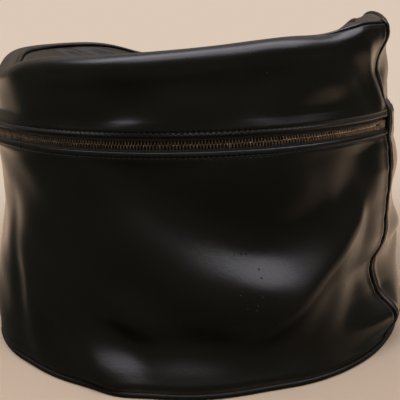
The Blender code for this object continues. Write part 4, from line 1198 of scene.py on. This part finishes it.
class DRUMBAG_OT_piping(bpy.types.Operator):
    """Lay the piping cords in the base seam, both side seams and the top seam"""
    bl_idname = "drumbag.piping"
    bl_label = "Piping"

    def execute(self, context):
        around = np.arange(0.0, 360.0, 0.8)
        level = BASE_BEAD_RADIUS + CLEARANCE
        path = polar(around, wall_radius(around, level) - SKIN / 2, level)
        cord = tube("base_cord", path, polar(around, 1.0, 0.0), BASE_BEAD_RADIUS, "rubbed", True)
        placed(cord, ["base_piping"], "wall")
        for side, seam in (("right", SEAM_ANGLE), ("left", -SEAM_ANGLE)):
            foot = shoulder_point(np.array([seam]), 0.0, 0.0)[1][0]
            heights = np.linspace(WALL_FOOT + SEAM_BEAD_RADIUS, foot, 110)[:-1]
            straight = polar(seam, wall_radius(seam, heights) - BEAD_SINK, heights)
            share = np.linspace(0.0, 1.0, 14)
            radius, height, _ = shoulder_point(np.full_like(share, seam), share, BEAD_SINK - SEAM_EDGE[0])
            path = np.concatenate([straight, polar(seam, radius, height)])
            cord = tube("side_cord_" + side, path, path * [1.0, 1.0, 0.0], SEAM_BEAD_RADIUS)
            placed(cord, ["seam_piping_" + side], "wall")
        for name, low, high, stood_for in (
                ("lid_top_cord", -PANEL_EDGE, PANEL_EDGE, "lid_top_piping"),
                ("rear_top_cord", REAR_EDGE, 360.0 - REAR_EDGE, "rear_top_piping")):
            angles = np.arange(low, high, 0.9)
            radius, height = past_shoulder(angles, SEAM_BEAD_RADIUS + CLEARANCE, BEAD_SINK)
            path = polar(angles, radius, height)
            upward = np.broadcast_to([0.0, 0.0, 1.0], path.shape)
            cord = placed(tube(name, path, upward, SEAM_BEAD_RADIUS), [stood_for])
            if name == "lid_top_cord":
                bend_with_lid(cord)
            else:
                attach(cord, "wall")
        return {"FINISHED"}


class DRUMBAG_OT_zip(bpy.types.Operator):
    """Make the zip: tapes, two rows of brass teeth, the closed ends and the stops"""
    bl_idname = "drumbag.zip"
    bl_label = "Zip"

    def execute(self, context):
        start = CHAIN_HALF + CLEARANCE
        reach = start + TAPE_WIDTH
        row_end = STOP_ANGLE - side_step(STOP_LENGTH / 2 + CLEARANCE)
        upper = np.linspace(-ZIP_END, ZIP_END, 300)
        tape = tape_strip("upper_tape", upper, ZIP_HEIGHT + start, ZIP_HEIGHT + reach)
        bend_with_lid(placed(tape, ["zip_tape_upper"]))
        lower = np.linspace(-PANEL_EDGE, PANEL_EDGE, 310)
        tape = tape_strip("lower_tape", lower, ZIP_HEIGHT - reach, ZIP_HEIGHT - start)
        placed(tape, ["zip_tape_lower"], "wall")
        teeth = zip_teeth("upper_teeth", -ZIP_END, ZIP_END, 1.0)
        bend_with_lid(placed(teeth, ["zip_teeth_upper"]))
        placed(zip_teeth("lower_teeth", -row_end, row_end, -1.0), ["zip_teeth_lower"], "wall")
        edge = ZIP_END + side_step(CLEARANCE)
        top = ZIP_HEIGHT + FLAP_GAP_ABOVE - 2 * CLEARANCE
        outline = loop_points(STOP_LENGTH / 2, CHAIN_HALF - CLEARANCE, STOP_ROUNDNESS)
        for side, low, high, angle in (
                ("right", edge, row_end, STOP_ANGLE), ("left", -row_end, -edge, -STOP_ANGLE)):
            stub = tape_strip("closed_end_" + side, np.linspace(low, high, 10), ZIP_HEIGHT + start, top)
            placed(stub, ["zip_end_" + side], "wall")
            placed(zip_teeth("closed_teeth_" + side, low, high, 1.0), (), "wall")
            stop = plate("end_stop_" + side, outline, -TOOTH_DEPTH - TOOTH_THICKNESS, -TOOTH_DEPTH,
                         PLATE_SOFTNESS, local_frame(angle, ZIP_HEIGHT))
            placed(stop, ["zip_stop_" + side], "wall")
        return {"FINISHED"}


class DRUMBAG_OT_slider(bpy.types.Operator):
    """Make the slider from its two plates, side lips and bridge, and the pull tab on the bridge"""
    bl_idname = "drumbag.slider"
    bl_label = "Slider"

    def execute(self, context):
        place = local_frame(SLIDER_ANGLE, ZIP_HEIGHT)
        along, _, out = (Vector(place.col[k][:3]) for k in range(3))
        stood = Matrix((along, out, along.cross(out))).transposed().to_4x4()
        stood.translation = place.translation
        face = SLIDER_FRONT[1]
        outline = loop_points(SLIDER_HALF_LENGTH, SLIDER_HALF_WIDTH, SLIDER_ROUNDNESS)
        outline[:, 1] *= 1.0 - SLIDER_TAPER_SHARE * (outline[:, 0] / SLIDER_HALF_LENGTH) ** 2
        small = (SMALL_ROUNDNESS, SMALL_LOOP)
        lip = loop_points(SLIDER_HALF_LENGTH * LIP_LENGTH_SHARE, LIP_HALF_WIDTH, *small)
        lip_span = (SLIDER_FRONT[0] - LIP_DEPTH, SLIDER_FRONT[0] + LIP_OVERLAP)
        post = loop_points(*POST_HALF_SIZE, POST_ROUNDNESS, SMALL_LOOP) + [POST_OFFSET, 0.0]
        bridge, opening = (loop_points(*size, SLIDER_ROUNDNESS) + [0.0, face + BRIDGE_LIFT]
                           for size in (BRIDGE_HALF_SIZE, BRIDGE_OPENING))
        plates = [
            ("slider_front_plate", outline, *SLIDER_FRONT, PLATE_SOFTNESS, place, None),
            ("slider_back_plate", outline, *SLIDER_BACK, PLATE_SOFTNESS, place, None),
            ("slider_lip_0", lip - [0.0, LIP_PLACE], *lip_span, THIN_SOFTNESS, place, None),
            ("slider_lip_1", lip + [0.0, LIP_PLACE], *lip_span, THIN_SOFTNESS, place, None),
            ("slider_post", post, SLIDER_BACK[0], face, THIN_SOFTNESS, place, None),
            ("slider_bridge", bridge, -BRIDGE_HALF_WIDTH, BRIDGE_HALF_WIDTH, PULL_SOFTNESS, stood, opening),
        ]
        for name, *sizes in plates:
            stood_for = ["slider_body"] if name == "slider_front_plate" else ()
            placed(plate(name, *sizes), stood_for, "slider")
        outline = loop_points(PULL_LENGTH / 2, PULL_WIDTH / 2, PULL_ROUNDNESS)
        outline = outline + [PULL_LENGTH / 2 - PULL_OVERLAP, 0.0]
        outline[:, 1] *= 1.0 - PULL_NECK_SHARE * (1.0 - smooth((outline[:, 0] - PULL_NECK) / PULL_NECK_RUN))
        slot = loop_points(*PULL_SLOT_HALF_SIZE, SMALL_ROUNDNESS) + [PULL_SLOT_PLACE, 0.0]
        top = face + PULL_LIFT + PULL_THICKNESS
        tab = plate("zip_pull", outline, face + PULL_LIFT, top, PULL_SOFTNESS, place, slot)
        placed(tab, ["pull_tab"], "pull_tab")
        ridge = loop_points(RIDGE_HALF_LENGTH, PULL_WIDTH * RIDGE_WIDTH_SHARE, *small)
        for number in range(RIDGES):
            spot = ridge + [RIDGE_START + RIDGE_STEP * number, 0.0]
            made = plate("zip_pull_ridge_%d" % number, spot, top - RIDGE_HEIGHT, top + RIDGE_HEIGHT,
                         RIDGE_SOFTNESS, place)
            placed(made, (), "pull_tab")
        return {"FINISHED"}


class DRUMBAG_OT_base(bpy.types.Operator):
    """Make the base: its outer skin, the stiffening board, the lining and the seam binding"""
    bl_idname = "drumbag.base"
    bl_label = "Base"

    def execute(self, context):
        around = np.arange(0.0, 360.0, 1.5)
        rim = wall_radius(around, BASE_BEAD_RADIUS + CLEARANCE)
        rim = rim - SKIN / 2 - BASE_BEAD_RADIUS - 2 * CLEARANCE
        inner_rim = np.full(len(around), BAG_RADIUS - BOARD_MARGIN)
        lining = SKIN + 2 * CLEARANCE + BOARD_THICKNESS
        shares = np.linspace(1.0, 0.0, 30)[:-1, None]
        for name, radius, low, high, look, stood_for in (
                ("base_skin", rim, 0.0, SKIN, "leather", "base_panel"),
                ("base_soft_lining", inner_rim, lining, lining + LINING_THICKNESS, "backing", "base_lining")):
            flat = polar(around[None], radius[None] * shares, 0.0)
            x, y = flat[..., 0], flat[..., 1]
            waves = BASE_WAVE * np.sin(x * BASE_WAVES[0]) * np.cos(y * BASE_WAVES[1]) * (1.0 - shares)
            lower, upper = (np.stack([x, y, z], axis=-1) for z in (np.full_like(waves, low), high + waves))
            poles = [np.array([0.0, 0.0, z]) for z in (high, low)]
            values = {"worn": 0.0, "dusty": PLAIN_DUST}
            sheet = closed_sheet(name, upper, lower, [look], values, True, poles)
            placed(sheet, [stood_for], "wall")
        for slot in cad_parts["base_board"].material_slots:
            slot.material = finish("board")
        angle, height = np.meshgrid(around, np.linspace(WALL_FOOT, ROW_STEP, 8))
        skin = panel_radius(angle, height) - SKIN - CLEARANCE
        sheet = strip("base_binding", angle, height, skin, BINDING, "binding", True)
        placed(sheet, ["base_seam_binding"], "wall")
        return {"FINISHED"}


class DRUMBAG_OT_handle(bpy.types.Operator):
    """Make the carrying handle: strap, padded grip, backing strip, rivets and washers"""
    bl_idname = "drumbag.handle"
    bl_label = "Handle"

    def execute(self, context):
        low, high = HANDLE_ANGLE - HANDLE_HALF_ANGLE, HANDLE_ANGLE + HANDLE_HALF_ANGLE
        round_edge = side_step(STRAP_THICKNESS / 2)
        angles = np.linspace(low + round_edge, high - round_edge, 160)[None]
        across = np.linspace(-1.0, 1.0, 27)[:, None]
        up = across * (STRAP_WIDTH - STRAP_THICKNESS) / 2
        pad = PADDING * np.cos(across * np.pi * PADDING_WAVES) * (1.0 - across ** 2) - PADDING_SINK
        outer = strap_points(angles, up, STRAP_THICKNESS + pad)
        inner = strap_points(angles, up, UNDERSIDE - pad * UNDERSIDE_SHARE)
        values = {"worn": np.abs(across) ** STRAP_WORN_POWER * STRAP_WORN, "dusty": PLAIN_DUST}
        strap = closed_sheet("handle_webbing", outer, inner, ["leather"], values)
        placed(strap, ["handle_strap"], "wall")
        pitch = side_step(context.scene.drum_bag_sewing.stitch_pitch)
        ends = np.arange(low + STRAP_STITCH_GAPS[0], high - STRAP_STITCH_GAPS[1], pitch)
        ends = ends[np.abs(ends - HANDLE_ANGLE) > GRIP_HALF_ANGLE + GRIP_GAP]
        for name, level in (("upper", 1.0), ("lower", -1.0)):
            line = level * (STRAP_WIDTH / 2 - STRAP_STITCH_INSET)
            spots = strap_frames(ends, line, STRAP_THICKNESS + 2 * STITCH_LIFT)
            placed(stitches("handle_stitches_" + name, *spots), (), "wall")
        placed(padded_grip(), ["handle_grip"], "wall")
        around = np.linspace(BACKING_FROM + BACKING_GAP, BACKING_TO - BACKING_GAP, 60)
        angle, height = np.meshgrid(around, np.linspace(BACKING_LOW, BACKING_HIGH, 16))
        skin = panel_radius(angle, height) - SKIN - CLEARANCE
        backing = strip("handle_backing_strip", angle, height, skin, BACKING_THICKNESS, "binding")
        placed(backing, ["handle_backing"], "wall")
        reach = HANDLE_HALF_ANGLE - side_step(RIVET_SPACING / 2)
        spots = [(side * reach, level * RIVET_SPACING / 2) for side in (-1.0, 1.0) for level in (-1.0, 1.0)]
        for number, (turn, up) in enumerate(spots, 1):
            rivet_and_washer(number, HANDLE_ANGLE + turn, up)
        return {"FINISHED"}


class DRUMBAG_OT_bindings(bpy.types.Operator):
    """Sew the bindings over the raw edges of both side seams inside"""
    bl_idname = "drumbag.bindings"
    bl_label = "Side Bindings"

    def execute(self, context):
        around = np.linspace(REAR_EDGE + SIDE_BINDING_GAP, SIDE_BINDING_END, 6)
        share = np.linspace(0.0, 1.0, 90)[:, None]
        for name, sign in (("right", 1), ("left", -1)):
            foot = shoulder_point(around * sign, 0.0, 0.0)[1]
            low = ROW_STEP + CLEARANCE + BINDING / 2
            height = (low + (foot - ROW_STEP - BINDING)[None] * share)[:, ::sign]
            angle = np.broadcast_to(around[None] * sign, height.shape)[:, ::sign]
            skin = panel_radius(angle, height) - SKIN - CLEARANCE
            sheet = strip("side_binding_" + name, angle, height, skin, BINDING, "binding")
            placed(sheet, ["side_seam_binding_" + name], "wall")
        return {"FINISHED"}


def strap_share(angle):
    """0 where the strap lies on the wall at its ends, and 1 where it bows clear of it."""
    bow = HANDLE_HALF_ANGLE - HANDLE_END_ANGLE
    return smooth((bow - np.abs(np.asarray(angle) - HANDLE_ANGLE)) / bow * LIFT_STEEPNESS)


def strap_points(angle, up, above):
    """Points on the strap: its bowed middle line, a distance up across it, and above its underside."""
    share = strap_share(angle)
    height = HANDLE_HEIGHT + up
    ground = panel_radius(angle, height) * (1.0 - share) + BAG_RADIUS * share
    return polar(angle, ground + 2 * CLEARANCE + HANDLE_LIFT * share + above, height)


def strap_frames(angles, up, above):
    """Places on the strap and their frames: along it, up across it, and outward."""
    here = strap_points(angles, up, above)
    ahead, behind = (strap_points(angles + turn, up, above) for turn in (STRAP_TURN_STEP, -STRAP_TURN_STEP))
    along = unit_rows(ahead - behind)
    out = unit_rows(np.cross(along, [[0.0, 0.0, 1.0]]))
    return here, np.stack([along, np.cross(out, along), out], axis=1)


def padded_grip():
    """The grip: a stuffed leathercloth sleeve round the strap, a soft oval that draws in and
    gathers at both ends, with a sewn line along its inner side."""
    angles = HANDLE_ANGLE + GRIP_HALF_ANGLE * np.sin(np.linspace(-0.5, 0.5, 110) * np.pi)
    share = ((angles - HANDLE_ANGLE) / GRIP_HALF_ANGLE)[:, None]
    middle = BAG_RADIUS + 2 * CLEARANCE + HANDLE_LIFT * strap_share(angles) + STRAP_THICKNESS / 2
    turns = np.linspace(0.0, 2 * np.pi, 72, endpoint=False)[None]
    ends = bell(1.0 - np.abs(share), GRIP_END_REACH)
    gather = GRIP_GATHER * ends * np.sin(turns * GRIP_GATHERS + GRIP_GATHER_START)
    gather = gather + GRIP_SLACK * np.sin(turns * GRIP_SLACK_WAVES + share * GRIP_SLACK_TWIST) - GRIP_SLACK
    seam = GRIP_SEAM_SHARE * bell(turns - 1.5 * np.pi, GRIP_SEAM_HALF_WIDTH)
    past_round = (np.abs(share) - GRIP_ROUND_START).clip(0.0) / GRIP_ROUND_RUN
    round_end = np.sqrt(np.clip(1.0 - past_round ** 2, 0.0, 1.0))
    width = (1.0 - GRIP_TAPER_SHARE * share ** 2) * (1.0 + gather - seam)
    width = width * (GRIP_END_SHARES[0] + GRIP_END_SHARES[1] * round_end)
    out = width * GRIP_THICKNESS / 2 * squared_off(np.sin(turns), GRIP_ROUNDNESS)
    up = width * GRIP_WIDTH / 2 * squared_off(np.cos(turns), GRIP_ROUNDNESS)
    rings = polar(angles[:, None], middle[:, None] + out, HANDLE_HEIGHT + up)
    points, faces = capped(rings, polar(angles[[0, -1]], middle[[0, -1]], HANDLE_HEIGHT))
    worn = np.concatenate([np.broadcast_to(GRIP_WORN * ends, up.shape).ravel(), [0.0, 0.0]])
    values = {"worn": worn, "dusty": np.full_like(worn, PLAIN_DUST)}
    return make_mesh("handle_pad", points, faces, [finish("leather")], None, values)


def rivet_and_washer(number, angle, up):
    """One rivet with a domed head on the strap and a shank through to its washer inside."""
    here, frames = strap_frames(np.array([angle]), up, STRAP_THICKNESS - RIVET_SINK)
    matrix = Matrix(frames[0].tolist()).transposed().to_4x4()
    matrix.translation = Vector(here[0])
    back = -(STRAP_THICKNESS + SKIN + 4 * CLEARANCE + BACKING_THICKNESS)
    end = back - SHANK_OVERHANG
    turn = np.radians(np.arange(*DOME_TURNS))
    dome = np.stack([RIVET_HEAD_RADIUS * np.sin(turn),
                     RIVET_HEAD_EDGE + (RIVET_HEAD_HEIGHT - RIVET_HEAD_EDGE) * np.cos(turn)], axis=1)
    profile = [(SHANK_RADIUS - SHANK_BEVEL, end), (SHANK_RADIUS, back), (SHANK_RADIUS, 0.0),
               (RIVET_HEAD_RADIUS - RIVET_BEVEL, 0.0), *dome]
    points, faces = capped(spun(profile), [[0.0, 0.0, end], [0.0, 0.0, RIVET_HEAD_HEIGHT]])
    rivet = make_mesh("rivet_%d" % number, moved(points, matrix), faces, [finish("nickel")])
    placed(rivet, ["handle_rivet_%d" % number], "wall")
    points, faces = joined(spun(np.array(WASHER_SECTION) + [0.0, back]))
    washer = make_mesh("washer_%d" % number, moved(points, matrix), faces[:, ::-1], [finish("nickel")])
    placed(washer, ["handle_washer_%d" % number], "wall")


class DRUMBAG_OT_stage(bpy.types.Operator):
    """Set the floor, the soft lights, the room's light and the camera"""
    bl_idname = "drumbag.stage"
    bl_label = "Stage"

    def execute(self, context):
        settings = context.scene.drum_bag_stage
        make_floor(settings)
        make_lights(settings)
        make_room(settings)
        make_camera()
        context.scene.view_settings.view_transform = "Standard"
        return {"FINISHED"}


def make_floor(settings):
    """A wide round floor whose tone runs from the floor's colour near the bag to the backdrop's.
    The camera sees its far part evenly lit, and reflections see it glow in the tones named below,
    with painted shade close to the bag and on the camera's side."""
    around, radii = np.arange(0.0, 360.0, 5.0), np.array(FLOOR_RADII)
    sides, total = len(around), len(around) * len(radii)
    points = polar(around[None], radii[:, None], -FLOOR_DROP).reshape(-1, 3)
    points = np.concatenate([points, [[0.0, 0.0, -FLOOR_DROP]]])
    fan = fanned(np.arange(total - sides, total), total)
    faces = np.concatenate([quads(len(radii), sides, around=True), fan])
    floor = Recipe(bpy.data.materials.new("studio_floor"))
    reach = floor.vector("LENGTH", floor.place)
    far = floor.ramp(reach, *FLOOR_TONE)
    floor.surface(Base_Color=floor.mixed(far, settings.floor_color, settings.backdrop_color),
                  Roughness=0.9, Specular_IOR_Level=0.1)
    rays = floor.add("LightPath").outputs
    even = floor.add("Emission", Color=settings.backdrop_color)
    seen = floor.either(floor.times(far, rays["Is Camera Ray"]), floor.shader, even)
    # Reflections see the floor glow instead of being lit: painted shade on the camera's side and close to the
    # bag
    ahead = along_direction(floor, WORLD_DARK[0])
    dark = floor.ramp(along_direction(floor, FLOOR_SHADED_SIDE[0]), *FLOOR_SHADED_SIDE[1:])
    # Painted shade on the floor close to the bag, where the bag's shadow falls
    dark = floor.math("MAXIMUM", dark, floor.ramp(reach, *FLOOR_SHADE, 1.0, 0.0))
    beyond = floor.ramp(floor.math("DIVIDE", ahead, reach), *WORLD_DARK[1:])
    dark = floor.math("MAXIMUM", dark, floor.times(beyond, floor.ramp(reach, *FLOOR_FAR)))
    back = floor.math("DIVIDE", along_direction(floor, 0.0), reach)
    bright = floor.mixed(floor.ramp(back, *FLOOR_BACK), MIRROR_FLOOR, MIRROR_BACKDROP)
    glow_with_painted_shade = floor.add("Emission", Color=floor.mixed(dark, bright, MIRROR_DARK))
    whole = floor.either(rays["Is Glossy Ray"], seen, glow_with_painted_shade)
    floor.fill(floor.nodes["Material Output"], Surface=whole.outputs[0])
    make_mesh("studio_floor", points, faces, [floor.owner])


def bag_direction(turn, lift):
    """A direction from the bag: degrees round from the camera's side, and up from the floor."""
    a, e = math.radians(CAMERA_TURN + turn), math.radians(lift)
    return Vector((math.sin(a) * math.cos(e), -math.cos(a) * math.cos(e), math.sin(e)))


def make_lights(settings):
    """Large soft lights aimed at the bag; what they look like in a reflection is the room's."""
    lamps = (
        ("key_light", settings.key_power, 2.3, 0.75, bag_direction(2.0, 47.0) * 1.7),
        ("side_light", settings.fill_power, 0.7, 1.0, bag_direction(-100.0, 28.0) * 1.9),
    )
    for name, power, wide, deep, place in lamps:
        lamp = bpy.data.lights.new(name, "AREA")
        lamp.shape = "RECTANGLE"
        lamp.size, lamp.size_y = wide, deep
        lamp.energy = power
        made = bpy.data.objects.new(name, lamp)
        made.visible_glossy = False
        bpy.context.collection.objects.link(made)
        place = place + Vector((0.0, 0.0, LAMP_RISE))
        aim = Vector((0.0, 0.0, AIM_HEIGHT)) - place
        made.matrix_world = Matrix.Translation(place) @ aim.to_track_quat("-Z", "Y").to_matrix().to_4x4()


# What reflections show instead of lamps. The room is dark on the camera's side: the middle of the
# dark in degrees from the camera, and how far towards it, as a cosine or in metres of floor, it
# begins and is whole. In reflections the floor glows instead of being lit, with painted shade on
# the camera's side and close to the bag, and its far part is as the room. Behind, they show a
# dimmer backdrop and a brown floor.
WORLD_DARK = (-5.0, -0.62, -0.42)
FLOOR_SHADED_SIDE = (-28.0, -0.10, 0.14)
FLOOR_SHADE = (0.20, 0.28)
FLOOR_FAR = (1.0, 1.4)
FLOOR_BACK = (-0.84, -0.95)
MIRROR_DARK = (0.075, 0.071, 0.058)
MIRROR_BACKDROP = (0.270, 0.212, 0.170)
MIRROR_FLOOR = (1.180, 0.840, 0.590)

# Soft panels that reflections show, each a rectangle on a level ceiling one unit up: nearest and
# farthest edge forward of the bag, left and right edge, softness and share of the panel's level
PANELS = (
    (0.10, 0.44, -0.50, 1.12, 0.16, 1.0),
    (-0.42, 0.04, -0.80, 0.90, 0.12, 1.1),
    (-1.6, -0.9, -0.9, 0.9, 0.30, 0.10),
)
PANEL_TINT, ROOM_COLOR = (0.97, 0.94, 1.05), (0.95, 0.93, 0.91)
LEAST_RISE = 0.001

# The floor's rings and how far it lies below the bag, where its tone begins to change and is whole,
# and how high the lamps hang above their direction's end and what they aim at
FLOOR_RADII, FLOOR_DROP, FLOOR_TONE = (12.0, 6.0, 3.0, 1.5, 0.8, 0.4), 0.0002, (0.30, 0.75)
LAMP_RISE, AIM_HEIGHT = 0.1, 0.13

# The photograph's camera: degrees down and tilted, place in bag radii, focal length and picture
# width in pixels
CAMERA_PITCH, CAMERA_LEAN = 13.56, -1.51
CAMERA_PLACE_SHARES = (0.019, -4.036, 1.549)
FOCAL_PIXELS, PHOTO_PIXELS = 817.9, 400.0
SENSOR_WIDTH_MM, CLIP_END = 36.0, 50.0


def along_direction(recipe, turn):
    """How far a place or a ray lies towards a level direction, in degrees from the camera's side."""
    return recipe.vector("DOT_PRODUCT", recipe.place, bag_direction(turn, 0.0))


def make_room(settings):
    """Even room light; the camera sees a plain background, and reflections a dim room with the
    backdrop behind the bag and soft panels overhead."""
    world = bpy.data.worlds.new("studio_room")
    bpy.context.scene.world = world
    room = Recipe(world)
    plain = room.fill(room.nodes["Background"], Color=ROOM_COLOR, Strength=settings.room_level)
    rise = room.math("MAXIMUM", room.add("SeparateXYZ", Vector=room.place).outputs["Z"], LEAST_RISE)
    forward, sideways = (room.math("DIVIDE", along_direction(room, turn), rise) for turn in (0.0, 90.0))
    glow = None
    for near, far, left, right, soft, share in PANELS:
        edges = [room.ramp(along, *span)
                 for along, low, high in ((forward, near, far), (sideways, left, right))
                 for span in ((low - soft, low + soft), (high + soft, high - soft))]
        light = room.times(edges[0], settings.panel_level * share, *edges[1:])
        glow = light if glow is None else room.math("ADD", glow, light)
    dark = room.ramp(along_direction(room, WORLD_DARK[0]), *WORLD_DARK[1:])
    around = room.add("Background", Color=room.mixed(dark, MIRROR_BACKDROP, MIRROR_DARK))
    overhead = room.add("Background", Color=PANEL_TINT, Strength=glow)
    both = room.add("AddShader")
    for number, part in enumerate((around, overhead)):
        room.links.new(part.outputs[0], both.inputs[number])
    backdrop = room.add("Background", Color=settings.backdrop_color)
    rays = room.add("LightPath").outputs
    lit = room.either(rays["Is Glossy Ray"], plain, both)
    seen = room.either(rays["Is Camera Ray"], lit, backdrop)
    room.fill(room.nodes["World Output"], Surface=seen.outputs[0])


def make_camera():
    """A camera at the photograph's place: turned round the bag, looking down and tilted a little."""
    turn, pitch, lean = (math.radians(angle) for angle in (CAMERA_TURN, CAMERA_PITCH, CAMERA_LEAN))
    turned_by = Matrix.Rotation(turn, 3, "Z")
    place = turned_by @ Vector(CAMERA_PLACE_SHARES) * BAG_RADIUS
    forward = turned_by @ Vector((0.0, math.cos(pitch), -math.sin(pitch)))
    level = turned_by @ Vector((1.0, 0.0, 0.0))
    up = level.cross(forward)
    right = level * math.cos(lean) + up * math.sin(lean)
    above = up * math.cos(lean) - level * math.sin(lean)
    data = bpy.data.cameras.new("photo_camera")
    data.sensor_width = SENSOR_WIDTH_MM
    data.lens = FOCAL_PIXELS * SENSOR_WIDTH_MM / PHOTO_PIXELS
    data.clip_end = CLIP_END
    made = bpy.data.objects.new("photo_camera", data)
    bpy.context.collection.objects.link(made)
    made.matrix_world = Matrix.Translation(place) @ Matrix((right, above, -forward)).transposed().to_4x4()
    bpy.context.scene.camera = made


class DRUMBAG_PT_panel(bpy.types.Panel):
    """The bag's settings and the steps that build it"""
    bl_idname = "DRUMBAG_PT_panel"
    bl_label = "Drum Bag"
    bl_space_type = "VIEW_3D"
    bl_region_type = "UI"
    bl_category = "Drum Bag"

    def draw(self, context):
        layout = self.layout
        for attribute, group in GROUPS.items():
            box = layout.box()
            for name in group.__annotations__:
                box.prop(getattr(context.scene, attribute), name)
        for step in STEPS:
            layout.operator(step.bl_idname)


GROUPS = {
    "drum_bag_leather": DrumBagLeather,
    "drum_bag_sewing": DrumBagSewing,
    "drum_bag_trim": DrumBagTrim,
    "drum_bag_stage": DrumBagStage,
}
STEPS = (
    DRUMBAG_OT_wall, DRUMBAG_OT_rear, DRUMBAG_OT_lid, DRUMBAG_OT_piping, DRUMBAG_OT_zip,
    DRUMBAG_OT_slider, DRUMBAG_OT_base, DRUMBAG_OT_handle, DRUMBAG_OT_bindings, DRUMBAG_OT_stage,
)


def register():
    """Register the settings, the steps and the panel."""
    for attribute, group in GROUPS.items():
        bpy.utils.register_class(group)
        setattr(bpy.types.Scene, attribute, PointerProperty(type=group))
    for kind in (*STEPS, DRUMBAG_PT_panel):
        bpy.utils.register_class(kind)


def unregister():
    """Take them out again."""
    for kind in (DRUMBAG_PT_panel, *reversed(STEPS)):
        bpy.utils.unregister_class(kind)
    for attribute, group in GROUPS.items():
        delattr(bpy.types.Scene, attribute)
        bpy.utils.unregister_class(group)


def main():
    """Build the whole bag."""
    register()
    for step in STEPS:
        space, name = step.bl_idname.split(".")
        getattr(getattr(bpy.ops, space), name)()


if __name__ == "__main__":
    main()
